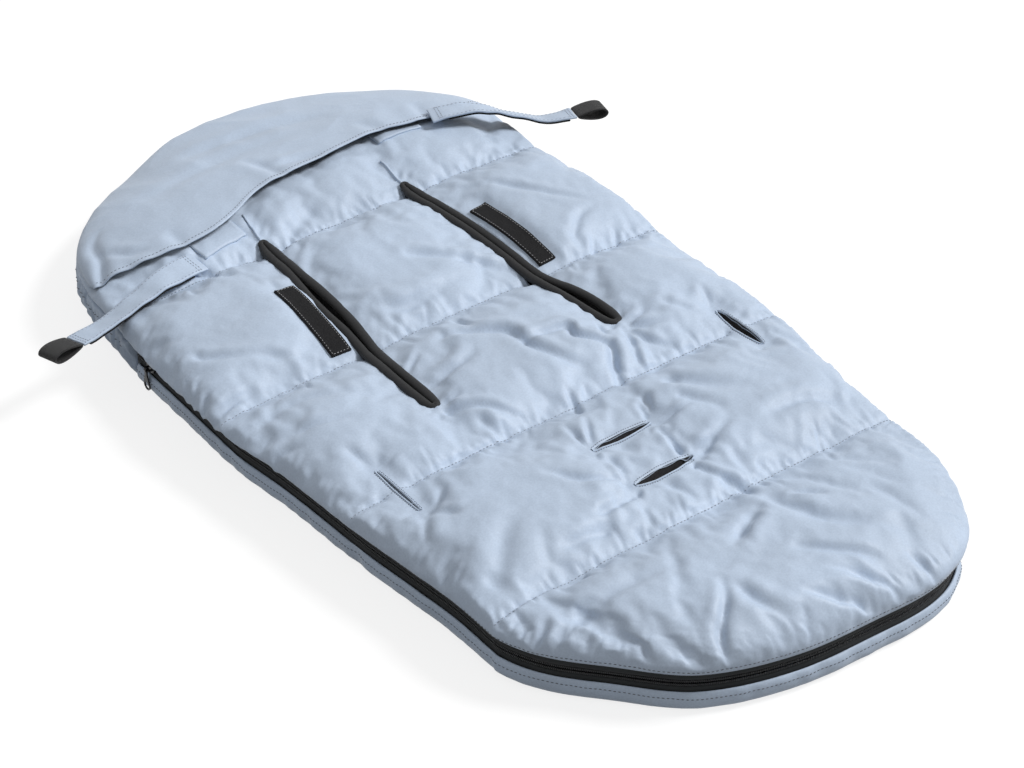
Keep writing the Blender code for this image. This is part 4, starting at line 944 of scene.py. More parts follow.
# Folds of the back: where the sheet is pulled at a slit, a seam or the zip, it creases away from there.
# Each fold is a line in plan, in millimetres, with the depth and width of its valley.
MM = 0.001
FOLD_DEPTH = 1.75
GATHER_DEPTH = 1.35
FOLDS = (
    (1.6, 5.0, ((134, 170), (160, 134), (192, 94))), (1.5, 5.0, ((150, 60), (170, 78), (194, 84))),
    (1.3, 3.0, ((156, 36), (166, 54))), (1.2, 3.0, ((182, 36), (192, 54))),
    (2.0, 6.0, ((6, 120), (42, 88), (80, 60))), (2.6, 8.0, ((-56, 76), (-38, 64), (-10, 64), (30, 68))),
    (1.2, 3.5, ((76, 146), (84, 122))), (1.0, 3.0, ((74, 88), (84, 72))),
    (3.2, 6.0, ((-36, 6), (6, -24), (10, -44), (14, -62), (28, -90), (42, -102))),
    (3.2, 5.0, ((14, -46), (52, -52), (52, -66), (70, -90), (62, -108), (52, -132), (54, -148))),
    (1.8, 3.5, ((82, -60), (76, -80))), (2.0, 4.0, ((98, -80), (78, -126))),
    (1.4, 3.5, ((-12, 24), (-10, -2))), (1.5, 3.5, ((-86, -10), (-66, 2))),
    (2.2, 6.0, ((-84, -40), (-56, -38), (-28, -32))), (2.2, 4.0, ((-94, -74), (-70, -90), (-44, -122))),
    (1.4, 4.0, ((-88, -68), (-70, -66))), (1.6, 5.0, ((-78, -98), (-74, -118), (-62, -136))),
    (1.6, 3.5, ((8, -112), (-2, -144))), (1.8, 3.5, ((-24, -194), (-18, -176), (-4, -150))),
    (1.4, 3.0, ((-26, -194), (-28, -150))), (2.0, 3.5, ((34, -194), (42, -162))),
    (1.6, 3.5, ((36, -196), (72, -200))), (2.0, 3.5, ((28, -242), (34, -200))),
    (1.8, 4.0, ((-26, -232), (-24, -206))),
    (2.6, 5.0, ((-34, -248), (-36, -236), (-64, -222), (-86, -188))),
    (2.2, 4.5, ((-34, -256), (-60, -260), (-82, -260))),
    (1.8, 6.0, ((-120, -272), (-84, -274), (-72, -274))),
    (2.2, 12.0, ((-192, -270), (-174, -260), (-148, -232), (-122, -220))),
    (1.6, 5.0, ((-184, -170), (-204, -202))), (1.6, 4.5, ((-184, -170), (-166, -164), (-150, -152))),
    (1.4, 5.0, ((-178, -176), (-164, -194))), (1.8, 5.0, ((-4, -260), (6, -290))),
    (1.4, 4.0, ((-40, -272), (-44, -294))), (2.2, 4.5, ((28, -250), (32, -270), (46, -300), (48, -312))),
    (1.8, 5.0, ((32, -252), (62, -242))), (2.2, 8.0, ((74, -154), (96, -184), (126, -210))),
    (2.0, 6.0, ((68, -182), (76, -194), (92, -222))), (2.4, 8.0, ((118, -248), (154, -250), (196, -270))),
    (1.6, 6.0, ((46, -246), (88, -234))), (2.0, 4.0, ((42, -184), (52, -158))),
    (2.2, 4.5, ((-218, -352), (-188, -346), (-168, -338))),
    (1.8, 5.0, ((-212, -336), (-190, -332), (-174, -320))), (1.4, 3.5, ((-222, -330), (-206, -326))),
    (2.4, 9.0, ((-166, -338), (-146, -338), (-108, -340), (-56, -348))),
    (1.4, 3.0, ((-172, -416), (-160, -398))), (3.2, 9.0, ((48, -326), (52, -352), (64, -378), (116, -424))),
    (2.6, 7.0, ((28, -334), (2, -346), (-22, -360))), (2.0, 5.0, ((22, -390), (56, -420), (72, -432))),
    (2.4, 5.0, ((68, -468), (56, -448), (24, -416))), (2.4, 5.0, ((44, -462), (10, -440), (-8, -426))),
    (2.6, 5.0, ((-88, -448), (-86, -424), (-60, -398), (-50, -380))),
    (2.4, 7.0, ((-46, -394), (-42, -416), (-28, -444))), (1.4, 3.0, ((-26, -462), (-18, -450))),
    (1.8, 4.5, ((104, -468), (94, -434))), (1.6, 4.5, ((66, -334), (86, -354))),
    (1.6, 5.0, ((146, -72), (168, -98))), (2.0, 4.0, ((182, -110), (186, -92), (192, -66))),
    (1.6, 4.0, ((188, -114), (208, -114))), (1.8, 4.0, ((102, -80), (106, -102), (124, -120))),
    (1.6, 4.0, ((104, -74), (130, -68))), (1.8, 4.0, ((104, -78), (136, -94))),
    (1.8, 3.5, ((-256, 70), (-246, 80), (-236, 88))), (1.8, 3.5, ((-260, 56), (-238, 70))),
    (2.2, 4.5, ((-258, 44), (-232, 50), (-200, 52))), (1.6, 4.0, ((-258, 72), (-242, 100))),
    (2.2, 5.0, ((-254, -46), (-234, -30), (-214, -42))),
    (1.8, 7.0, ((-230, 6), (-206, 12), (-172, 2), (-112, -36))),
    (1.6, 5.0, ((-208, -24), (-192, -30), (-164, -40))), (1.6, 4.5, ((-180, -98), (-192, -66))),
    (1.8, 5.0, ((-224, 116), (-212, 100), (-138, 52))), (2.2, 9.0, ((-64, 222), (-8, 246))),
    (1.8, 6.0, ((-162, 254), (-140, 212), (-122, 192))), (1.4, 3.5, ((-176, 190), (-170, 210))),
    (1.4, 3.5, ((-112, 148), (-114, 168))),
)


# Section of a fold across its line, in widths of its valley: the height, the middle and the reach of the
# valley and of the ridges beside it.
FOLD_SECTION = ((-1.0, 0.0, 0.75), (0.55, 1.7, 1.1), (0.30, -2.0, 1.3))
FOLD_REACH = 4.5
FOLD_START = 0.45
FOLD_START_RISE = 3.0
FOLD_END_FALL = 2.2
FOLD_END_POWER = 0.8
FOLD_PARTS = 4


def fold_line(points):
    """Closely spaced points of a smooth line through the given ones."""
    spots = [Vector(point) * MM for point in points]
    line = []
    for k in range(len(spots) - 1):
        before = spots[max(k - 1, 0)]
        after = spots[min(k + 2, len(spots) - 1)]
        for part in range(FOLD_PARTS):
            s = part / FOLD_PARTS
            line.append(
                0.5 * (2 * spots[k] + (spots[k + 1] - before) * s
                       + (2 * before - 5 * spots[k] + 4 * spots[k + 1] - after) * s ** 2
                       + (3 * spots[k] - before - 3 * spots[k + 1] + after) * s ** 3))
    line.append(spots[-1])
    return np.array(line)


def fold_heights(plan, folds):
    """Rise of each plan point from a list of folds: a valley along each line and a ridge beside it."""
    rise = np.zeros(len(plan))
    for depth, width, points in folds:
        line = fold_line(points)
        reach = FOLD_REACH * width * MM
        near = np.all((plan > line.min(axis=0) - reach) & (plan < line.max(axis=0) + reach), axis=1)
        spots = plan[near]
        if not len(spots):
            continue
        best = np.full(len(spots), 1e9)
        side = np.zeros(len(spots))
        along = np.zeros(len(spots))
        for k in range(len(line) - 1):
            run = line[k + 1] - line[k]
            size = run @ run
            part = np.clip((spots - line[k]) @ run / size, 0.0, 1.0)
            gap = spots - line[k] - part[:, None] * run
            away = np.hypot(gap[:, 0], gap[:, 1])
            closer = away < best
            best = np.where(closer, away, best)
            turn = run[0] * gap[:, 1] - run[1] * gap[:, 0]
            side = np.where(closer, np.sign(turn), side)
            along = np.where(closer, (k + part) / (len(line) - 1), along)
        fade = np.clip((1 - along) * FOLD_END_FALL, 0.0, 1.0) ** FOLD_END_POWER
        fade *= np.clip(FOLD_START + along * FOLD_START_RISE, 0.0, 1.0)
        across = best * side / (width * MM)
        shape = sum(high * np.exp(-(((across - middle) / wide) ** 2)) for high, middle, wide in FOLD_SECTION)
        rise[near] += depth * MM * fade * shape
    return rise


GATHERS_ABOVE = 0.85
GATHERS_BELOW = 0.45
GATHERS_AT_ZIP = 0.62
SEAM_GATHERS = (0.007, 0.009, 0.012, 0.016, 0.026)
ZIP_GATHERS = (0.006, 0.008, 0.010, 0.014, 0.022)
gather_rng = random.Random(11)
gathers = []


def gather(place, direction, length, depth, width):
    """Short straight fold from a sewn line out into the sheet."""
    far = place + direction * length
    gathers.append((depth, width, (tuple(place / MM), tuple(far / MM))))


for seam in SEAMS:
    half = half_width(seam) - 0.004
    x = -half
    while x < half:
        for way in (1, -1):
            if gather_rng.random() < (GATHERS_ABOVE if way > 0 else GATHERS_BELOW):
                place = laid(x + gather_rng.uniform(-0.003, 0.003), seam)
                lean = gather_rng.uniform(-0.6, 0.6)
                direction = Vector((math.sin(lean), way * math.cos(lean)))
                length = gather_rng.choice(SEAM_GATHERS)
                gather(place, direction, length, gather_rng.uniform(0.4, 1.15), gather_rng.uniform(1.7, 2.8))
        x += gather_rng.uniform(0.006, 0.013)
for k in range(4, ZIP_STEPS - 3):
    if gather_rng.random() < GATHERS_AT_ZIP:
        edge_out = 0.85 * zip_inset(ZIP_LINE[k].y)
        place = laid(*(ZIP_LINE[k] + ZIP_OUT[k] * edge_out))
        lean = gather_rng.uniform(-0.5, 0.5)
        inward = Matrix.Rotation(lean, 2) @ (-ZIP_OUT[k])
        length = gather_rng.choice(ZIP_GATHERS)
        gather(place, inward, length, gather_rng.uniform(0.35, 1.0), gather_rng.uniform(1.6, 2.6))
slit_ends = [(side * slit_x(y), y) for side in (-1, 1) for y in (SLIT_LOW_Y, SLIT_TOP_Y)]
slit_ends += [(side * HIP_X, HIP_Y + way * SMALL_SLIT / 2) for side in (-1, 1) for way in (-1, 1)]
slit_ends += [(side * SMALL_SLIT / 2, y) for side in (-1, 1) for y in CROTCH_YS]
for end in slit_ends:
    for k in range(6):
        angle = 2 * math.pi * (k + gather_rng.uniform(-0.3, 0.3)) / 6
        direction = Vector((math.cos(angle), math.sin(angle)))
        gather(laid(*end) + direction * 0.004, direction, gather_rng.uniform(0.008, 0.020), 1.0, 2.6)

smooth = back.modifiers.new("smooth", "SUBSURF")
smooth.levels = 1
smooth.render_levels = 1
dense = bpy.data.meshes.new_from_object(back.evaluated_get(bpy.context.evaluated_depsgraph_get()))
back.modifiers.remove(smooth)
back.data = dense
dense.name = "quilted_back"
spots = np.empty(len(dense.vertices) * 3)
dense.vertices.foreach_get("co", spots)
spots = spots.reshape(-1, 3)
plan = spots[:, :2]
on_top = np.clip((spots[:, 2] - BACK_LOW - 0.0015) / 0.004, 0.0, 1.0)
rise = FOLD_DEPTH * fold_heights(plan, FOLDS) + GATHER_DEPTH * fold_heights(plan, gathers)
SWELLS = 0.0012
RIDGES = 0.0010
FINE_RIDGES = 0.0003
crinkle = np.zeros(len(spots))
for k, (x, y) in enumerate(plan):
    rough = 0.5 + 0.5 * ripple((x, y, 0.0), 9.0, 40.0)
    ridge = 1 - abs(ripple((x * 1.2, y, 0.0), 42.0, 20.0)) * 2
    crinkle[k] = SWELLS * ripple((x, y, 0.0), 14.0, 30.0) + rough * RIDGES * ridge
    crinkle[k] += FINE_RIDGES * (1 - 2 * abs(ripple((x, y * 1.3, 0.0), 75.0, 55.0)))
spots[:, 2] += (rise + crinkle) * on_top
PATCH_LENGTH = 0.100
PATCH_WIDTH = 0.019
PATCH_LOW_Y = SEAM_HIP + 0.0095
PATCH_FROM_SLIT = 0.0131
PATCH_ASIDE = PATCH_FROM_SLIT + PATCH_WIDTH / 2


def press(low, high, reach, share, degree, drop):
    """Presses the sheet to an even height along a line between two points of the straight muff."""
    start = np.array(laid(*low))
    run = np.array(laid(*high)) - start
    away = plan - start
    along = away @ run / (run @ run)
    aside = np.abs(away[:, 0] * run[1] - away[:, 1] * run[0]) / np.hypot(*run)
    near = (aside < reach) & (np.abs(along - 0.5) < 0.55) & (spots[:, 2] > EDGE_Z)
    level = np.polyval(np.polyfit(along[near], spots[near, 2], degree), np.clip(along, -0.1, 1.1)) - drop
    past = np.clip(np.abs(along - 0.5) - 0.5, 0.0, None) * np.hypot(*run)
    weight = share * np.exp(-((aside / reach) ** 4)) * np.exp(-((past / 0.010) ** 2)) * on_top
    spots[:, 2] += (level - spots[:, 2]) * weight


def patch_ends(side):
    """Plan points of the two ends of the hook patch on a side."""
    return [(side * (slit_x(y) + PATCH_ASIDE), y) for y in (PATCH_LOW_Y, PATCH_LOW_Y + PATCH_LENGTH)]


PRESS_HALF = 0.55 * SMALL_SLIT
for side in (-1, 1):
    hip_x = side * HIP_X
    press((hip_x, HIP_Y - PRESS_HALF), (hip_x, HIP_Y + PRESS_HALF), 0.0120, 0.9, 1, 0.0)
    press(*patch_ends(side), 0.0135, 0.96, 3, 0.0008)
for crotch_y in CROTCH_YS:
    press((-PRESS_HALF, crotch_y), (PRESS_HALF, crotch_y), 0.0080, 0.8, 1, 0.0)

# Pocket over the head of the back: a smooth, unquilted sheet that slips over the top of the seat.
# It is sewn in round the head end, and its turned and topstitched hem is free.
HEM_LOW_Y = SEAM_BACK + 0.0295
HEM_SPAN = 0.056
HEM_STITCH_GAP = 0.0045
HEM_SHARES = (
    (-1.00, 0.36), (-0.82, 0.14), (-0.65, 0.03), (-0.50, 0.06), (-0.38, 0.25), (-0.22, 0.59),
    (0.00, 0.72), (0.19, 0.80), (0.41, 0.89), (0.58, 0.77), (0.79, 0.78), (1.00, 1.00),
)
POCKET_LIFT = 0.0120
POCKET_EDGE_GAP = 0.0020
POCKET_THICKNESS = 0.0012
POCKET_INSET = 0.0015
POCKET_NEAR_Y = 0.235
POCKET_CLEAR = 0.0016
POCKET_FOLD_DEPTH = 1.15
POCKET_SWELLS = 0.0024
POCKET_RIDGES = 0.0007
POCKET_CROWN = 0.0145
POCKET_FOLDS = (
    (3.0, 6.0, ((-246, 226), (-232, 258), (-214, 292), (-206, 320), (-186, 340))),
    (2.0, 6.0, ((-204, 294), (-192, 276), (-176, 268))), (2.4, 7.0, ((-202, 258), (-204, 236))),
    (2.2, 7.0, ((-20, 290), (-24, 312), (-32, 342))), (2.0, 6.0, ((-12, 304), (10, 302), (32, 294))),
    (2.2, 12.0, ((-54, 396), (20, 388), (88, 368))), (1.6, 12.0, ((-128, 346), (-32, 358), (44, 354))),
    (1.6, 7.0, ((-236, 232), (-228, 248))), (1.6, 8.0, ((-150, 250), (-150, 280))),
    (1.4, 9.0, ((100, 300), (92, 330))), (1.6, 8.0, ((150, 296), (160, 330))),
)


def hem_y(share):
    """Where the free hem lies along the muff, for -1 at its left corner to 1 at its right one."""
    return HEM_LOW_Y + HEM_SPAN * smooth_table(HEM_SHARES, share)


def outline_y(x):
    """Far edge of the head end at x."""
    across = min(abs(x) / half_width(HEAD_BASE), 1.0)
    return HEAD_BASE + HEAD_DEPTH * (1 - across ** HEAD_POWER) ** (1 / HEAD_POWER)


def pocket_under(x, y):
    """Height of the pocket's inner side, which spans the seams of the panel under it."""
    lift = POCKET_EDGE_GAP + (POCKET_LIFT - POCKET_EDGE_GAP) * (1 - edge_share(x, y) ** 3)
    return EDGE_Z + (SEAM_Z + POCKET_CROWN - EDGE_Z) * edge_rise(x, y) + lift


left_corner = half_width(hem_y(-1)) - POCKET_INSET
right_corner = half_width(hem_y(1)) - POCKET_INSET
POCKET_CELLS = (170, 84)


def pocket_place(u, v):
    x, deep = half_disc(2 * u - 1, v, HEAD_POWER)
    far = max(1 - abs(x) ** HEAD_POWER, 0.0) ** (1 / HEAD_POWER)
    up = deep / far if far > 0 else 0.0
    x_row = x * (right_corner if x > 0 else left_corner)
    start = hem_y(x)
    y = start + (outline_y(x_row) - POCKET_INSET - start) * up
    hem = 0.0005 * bell(y - start, 0.006)
    return x_row, y, pocket_under(x_row, y) + POCKET_THICKNESS + hem


work = shaped(POCKET_CELLS, pocket_place, span=(0.47, 0.21))
pocket_spots = np.array([vert.co for vert in work.verts])
pocket_rise = fold_heights(pocket_spots[:, :2], POCKET_FOLDS)
for vert, rise_here in zip(work.verts, pocket_rise):
    place = tuple(vert.co)
    soft = POCKET_SWELLS * ripple(place, 9.0, 60.0)
    soft += POCKET_RIDGES * (1 - 3 * abs(ripple(place, 22.0, 70.0)))
    vert.co.z += float(rise_here) * POCKET_FOLD_DEPTH + soft
face_up(work)
pocket = new_piece("pocket", work, "back", SHELL, "shell_fabric")
# The pocket's underside takes the black lining. It is partly a lining of the pocket and partly painted shade
# that darkens the gap under its lifted hem.
thicken(pocket, POCKET_THICKNESS, -1.0).material_offset = 1
pocket.data.materials.append(LINING)
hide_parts("seat_pocket")
pocket_tree = surface_of(pocket)

for k, (x, y, z) in enumerate(spots):
    if y > POCKET_NEAR_Y:
        over = pocket_tree.ray_cast(Vector((x, y, 0.02)), Vector((0.0, 0.0, 1.0)))[0]
        if over is not None:
            spots[k, 2] = min(z, over.z - POCKET_CLEAR)
dense.vertices.foreach_set("co", spots.ravel())
dense.update()

# Slits of the back: cut through fabric, wadding and lining, so straps and harness can pass.
# The cut walls are faced with the black lining.
HARNESS_CUT = 0.0066
LEFT_HIP_CUT = 0.0010
RIGHT_HIP_CUT = 0.0044
FRONT_CROTCH_CUT = 0.0048
REAR_CROTCH_CUT = 0.0034


def harness_half(t):
    """Half opening cut for a long slit along its length: even, with round ends."""
    return HARNESS_CUT * math.sqrt(max(1 - abs(t) ** 12, 0.0))


def small_half(cut):
    """Half opening of a short slit along its length: widest in the middle."""
    return lambda t: cut * (1 - 0.80 * t * t)


def slit_frames():
    """For each slit: how far along and aside a plan point lies, the way back, and its half opening."""
    frames = []
    half = (SLIT_TOP_Y - SLIT_LOW_Y) / 2 - 0.002
    middle = (SLIT_TOP_Y + SLIT_LOW_Y) / 2
    for side in (-1, 1):
        frames.append((
            lambda x, y, side=side: ((y - middle) / half, x - side * slit_x(y)),
            lambda t, s, side=side: (side * slit_x(middle + t * half) + s, middle + t * half), harness_half))
        frames.append((
            lambda x, y, side=side: ((y - HIP_Y) / (SMALL_SLIT / 2), x - side * HIP_X),
            lambda t, s, side=side: (side * HIP_X + s, HIP_Y + t * SMALL_SLIT / 2),
            small_half(LEFT_HIP_CUT if side < 0 else RIGHT_HIP_CUT)))
    for crotch_y, cut in zip(CROTCH_YS, (FRONT_CROTCH_CUT, REAR_CROTCH_CUT)):
        frames.append((
            lambda x, y, low=crotch_y: (x / (SMALL_SLIT / 2), y - low),
            lambda t, s, low=crotch_y: (t * SMALL_SLIT / 2, low + s), small_half(cut)))
    return frames


SLIT_FRAMES = slit_frames()


def cut_slits(work):
    """Opens the slits in a sheet and gives the edges round them."""
    doomed = []
    for face in work.faces:
        middle = face.calc_center_median()
        if not SEAM_FOOT < middle.y < SLIT_TOP_Y + 0.01 or abs(middle.x) > 0.23:
            continue
        x, y = straightened(middle.x, middle.y)
        for locate, place, half in SLIT_FRAMES:
            t, s = locate(x, y)
            if abs(t) < 1 and abs(s) < half(t) + 0.0004:
                doomed.append(face)
                break
    gone = set(doomed)
    rim = [edge for edge in work.edges if len({face in gone for face in edge.link_faces}) == 2]
    for vert in {vert for edge in rim for vert in edge.verts}:
        x, y = straightened(vert.co.x, vert.co.y)
        nearest = None
        for locate, place, half in SLIT_FRAMES:
            t, s = locate(x, y)
            miss = max(abs(t) - 1, 0.0) + abs(abs(s) - half(min(max(t, -1.0), 1.0)))
            if nearest is None or miss < nearest[0]:
                nearest = (miss, t, s, place, half)
        miss, t, s, place, half = nearest
        t = min(max(t, -1.0), 1.0)
        vert.co.xy = laid(*place(t, math.copysign(half(t), s)))
    bmesh.ops.delete(work, geom=doomed, context="FACES")
    return [edge for edge in rim if edge.is_valid and edge.is_boundary]


work = bmesh.new()
work.from_mesh(dense)
rim = cut_slits(work)
grown = bmesh.ops.extrude_edge_only(work, edges=rim)
for item in grown["geom"]:
    if isinstance(item, bmesh.types.BMVert):
        item.co.z = BACK_LOW
    elif isinstance(item, bmesh.types.BMFace):
        item.material_index = 1
low_rims = [edge for edge in work.edges if edge.is_boundary]
under = bmesh.ops.triangle_fill(work, edges=low_rims, use_beauty=True)
for item in under["geom"]:
    if isinstance(item, bmesh.types.BMFace):
        item.material_index = 1
bmesh.ops.recalc_face_normals(work, faces=work.faces)
work.to_mesh(dense)
work.free()
if len(dense.materials) == 0:
    dense.materials.append(SHELL)
dense.materials.append(LINING)
dense.shade_smooth()
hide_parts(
    "back_foot_channel", "back_leg_channel", "back_hip_channel", "back_upper_left",
    "back_upper_middle", "back_upper_right", "back_shoulder_left", "back_shoulder_middle",
    "back_shoulder_right", "back_head_channel")
back_tree = surface_of(back)


def on_back(x, y, tree=back_tree):
    """Point and way up on the settled back under a laid plan point."""
    hit = tree.ray_cast(Vector((x, y, 0.2)), Vector((0.0, 0.0, -1.0)))
    if hit[0] is None:
        hit = tree.find_nearest(Vector((x, y, EDGE_Z)))
    return hit[0], hit[1]


def stitched_line(points, step, tree=back_tree):
    """Spots of stitches at even steps along a laid plan line, on a surface."""
    spots = []
    for spot, stretch in even_spots(points, step / 2, step):
        place, up = on_back(*spot, tree)
        ahead = on_back(*(spot + stretch.normalized() * 0.002), tree)[0]
        spots.append((place, ahead - place, up))
    return spots


SEAM_STITCH = (0.0026, 0.0009)
SEAM_STITCH_STEP = 0.0036
SLIT_CLEAR = 0.011
seam_spots = []
for seam in SEAMS:
    half = half_width(seam) - 0.002
    line = [laid(half * (k / 60 - 1), seam) for k in range(121)]
    for place, along, up in stitched_line(line, SEAM_STITCH_STEP):
        x, y = straightened(place.x, place.y)
        if abs(abs(x) - slit_x(y)) > SLIT_CLEAR or not SLIT_LOW_Y < y < SLIT_TOP_Y:
            seam_spots.append((place, along, up))
stitches("seam_stitches", seam_spots, "back", SEAM_STITCH, PALE_THREAD)
edge_spots = along_zip(0.45 * ZIP_SIDE_INSET, 0.0440, back_tree, STITCH_STEP)
stitches("edge_topstitch", edge_spots, "back", ZIP_STITCH, DARK_THREAD)

# Back lining: a black brushed polyester sheet inside the back, from the foot up into the hood.
# It is cut through at the same slits, and the cross seams draw it up to the back.
LINING_TOP = 0.0424
LINING_LOW = 0.0404
LINING_CELL = 0.0060
lining_rows = panel_rows(LINING_CELL)


def back_lining_place(u, v):
    x, y = panel_point(2 * u - 1, round(v * lining_rows[3]), lining_rows)
    x, y = drawn_in(x, y, zip_inset(y) + 0.0015)
    return x, y, LINING_TOP


lining_cells = (round(MUFF_WIDTH / LINING_CELL), lining_rows[3])
work = shaped(lining_cells, back_lining_place, span=(MUFF_WIDTH, MUFF_LENGTH))
cut_slits(work)
bmesh.ops.recalc_face_normals(work, faces=work.faces)
grown = bmesh.ops.extrude_face_region(work, geom=list(work.faces))
for item in grown["geom"]:
    if isinstance(item, bmesh.types.BMVert):
        drawn = bell(seam_gap(item.co.y), LINING_SEAM_REACH)
        wave = 0.0004 * ripple(tuple(item.co), 20.0, 8.0)
        item.co.z += LINING_LOW - LINING_TOP - 0.0008 * (1 - drawn) + wave
bmesh.ops.recalc_face_normals(work, faces=work.faces)
padded_piece("back_inner_lining", work, "back", LINING, "lining_fabric", "back_lining")

# Harness slit lips: a black knitted tube round each long slit, filled and a little twisted, so that
# its two sides touch along most of the slit and part near the lower end.
LIP_WIDE = 0.0043
LIP_HIGH = 0.0036
LIP_STEPS = 260
LIP_SIDES = 14
OPEN_MOST = 0.0074
LIP_SPAN = 0.024
LIP_BRIDGE = 0.4
LEFT_OPEN_SHARES = (
    (0.00, 0.00), (0.10, 0.20), (0.28, 0.10), (0.42, 0.40), (0.55, 0.85), (0.66, 0.75), (0.80, 0.05),
    (1.00, 0.00),
)
RIGHT_OPEN_SHARES = (
    (0.00, 0.20), (0.05, 0.75), (0.13, 1.00), (0.22, 0.70), (0.33, 0.05), (0.60, 0.00), (1.00, 0.00),
)
BINDING = patterned(
    "slit_binding", (0.013, 0.0135, 0.0145), 0.66, noise_of(800.0, 2.0),
    ((0.009, 0.0095, 0.0105), (0.018, 0.0185, 0.020)), (0.4, 0.0002), under=(90.0, 2.0, 0.35, 0.0012),
    sheen=0.06, specular=0.25)


def ring_spot(angle, low_y, high_y, half_open, path):
    """Plan point of a closed ring round a slit; half_open gives its half width for a share of the length."""
    share = (1 - math.cos(angle)) / 2
    length = high_y - low_y
    half = half_open(share)
    past = min(share, 1 - share) * length
    if past < half:
        half *= math.sqrt(1 - (1 - past / half) ** 2)
    y = low_y + length * share
    return Vector((path(y) + math.copysign(half, math.sin(angle)), y))


def lip_height(x, y):
    """Height of the lips' middle line, which bridges the dips of the seams."""
    tops = [panel_top(x, y + LIP_SPAN * k / 3) for k in range(-3, 4)]
    return (1 - LIP_BRIDGE) * sum(tops) / len(tops) + LIP_BRIDGE * max(tops)


def harness_lip(name, side, open_shares, node):
    """Lip of a long slit, parted along its length as the open shares say."""
    def taper(share):
        return 1 - 0.40 * bell(1 - share, 0.035) - 0.18 * bell(share, 0.030)

    def half_open(share):
        return max(OPEN_MOST / 2 * smooth_table(open_shares, share), 0.0) + LIP_WIDE * 0.95 * taper(share)

    def path(y):
        return side * slit_x(y)

    def place(u, v):
        angle = 2 * math.pi * u
        low_y = SLIT_LOW_Y + LIP_WIDE
        high_y = SLIT_TOP_Y - LIP_WIDE
        spot = ring_spot(angle, low_y, high_y, half_open, path)
        ahead = ring_spot(angle + 0.01, low_y, high_y, half_open, path)
        behind = ring_spot(angle - 0.01, low_y, high_y, half_open, path)
        out = Vector(((ahead - behind).y, -(ahead - behind).x)).normalized()
        share = (1 - math.cos(angle)) / 2
        swell = 1 + 0.10 * noise.noise(Vector((spot.x * 30.0, spot.y * 34.0, 2.0 + side)))
        swell *= taper(share)
        twist = 0.5 * math.sin(share * 7.0 + side) * (1 if math.sin(angle) > 0 else -1)
        turn = 2 * math.pi * v + twist
        x = spot.x + out.x * LIP_WIDE * swell * math.cos(turn)
        y = spot.y + out.y * LIP_WIDE * swell * math.cos(turn)
        z = lip_height(spot.x, spot.y) + 0.0002 + LIP_HIGH * swell * math.sin(turn)
        return x, y, z

    work = shaped((LIP_STEPS, LIP_SIDES), place, weld=True, span=(0.62, 0.027))
    padded_piece(name, work, "back", BINDING, "webbing", node)


harness_lip("left_slit_lip", -1, LEFT_OPEN_SHARES, "harness_left_lip")
harness_lip("right_slit_lip", 1, RIGHT_OPEN_SHARES, "harness_right_lip")

# Hip and crotch slit lips: the shell fabric turned in and sewn flat round each short slit, with a fine
# topstitch on each long side.
WELT_WIDE = 0.0011
WELT_HIGH = 0.0007
WELT_STEPS = 110
WELT_SIDES = 8
WELT_STITCH_GAP = 0.0024
WELT_STITCH_STEP = 0.0024
WELT_STITCH = (0.0017, 0.0006)


def small_lip(name, middle, level, cut, node):
    """Thin flat welt round a short slit that runs across the muff if level, or along it."""
    def put(along, aside):
        return (middle[0] + along, middle[1] + aside) if level else (middle[0] + aside, middle[1] + along)

    half = small_half(cut)

    def ring(angle):
        t = -math.cos(angle)
        aside = half(t) * math.sqrt(max(1 - t ** 8, 0.0)) + 0.0003
        return t * (SMALL_SLIT / 2 + 0.0008), math.copysign(aside, math.sin(angle))

    def place(u, v):
        angle = 2 * math.pi * u
        along, aside = ring(angle)
        x, y = put(along, aside + math.copysign(0.0004, aside))
        turn = 2 * math.pi * v
        spread = WELT_WIDE * math.cos(turn)
        x, y = (x, y + spread) if level else (x + spread, y)
        spot = laid(x, y)
        z = on_back(*spot)[0].z
        base = on_back(*laid(*put(along, math.copysign(half(0.0) + 0.004, aside))))[0].z
        return *spot, max(min(z, base + 0.001), base - 0.002) + 0.0002 + WELT_HIGH * math.sin(turn)

    work = shaped((WELT_STEPS, WELT_SIDES), place, weld=True, straight=False)
    lip = new_piece(name, work, "back", SHELL, "shell_fabric")
    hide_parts(node)
    spots = []
    for aside in (-1, 1):
        line = []
        for k in range(21):
            out = aside * (half(k / 10 - 1) + WELT_STITCH_GAP)
            line.append(laid(*put(SMALL_SLIT * (k / 20 - 0.5), out)))
        spots += stitched_line(line, WELT_STITCH_STEP)
    stitches(name + "_stitches", spots, "back", WELT_STITCH, DARK_THREAD)


small_lip("left_hip_welt", (-HIP_X, HIP_Y), False, LEFT_HIP_CUT, "hip_left_lip")
small_lip("right_hip_welt", (HIP_X, HIP_Y), False, RIGHT_HIP_CUT, "hip_right_lip")
small_lip("front_crotch_welt", (0.0, CROTCH_YS[0]), True, FRONT_CROTCH_CUT, "crotch_front_lip")
small_lip("rear_crotch_welt", (0.0, CROTCH_YS[1]), True, REAR_CROTCH_CUT, "crotch_rear_lip")

# Hook patches: black hook-and-loop tape beside the outer lip of each harness slit, sewn round its
# border with grey thread.
PATCH_THICKNESS = 0.0016
PATCH_STITCH_INSET = 0.0016
PATCH_STITCH_STEP = 0.0032
PATCH_STITCH = (0.0024, 0.0007)


def tiny_hooks(tree, coords):
    """Pattern of a nap of tiny hooks, for patterned()."""
    hooks = tree.nodes.new("ShaderNodeTexVoronoi")
    hooks.inputs["Scale"].default_value = 900.0
    tree.links.new(coords, hooks.inputs["Vector"])
    return hooks.outputs["Distance"]


HOOK = patterned(
    "hook_tape", (0.020, 0.020, 0.021), 0.9, tiny_hooks, ((0.020, 0.020, 0.021), (0.007, 0.007, 0.008)),
    (0.8, 0.0005), ramp=(0.1, 0.7), specular=0.20)


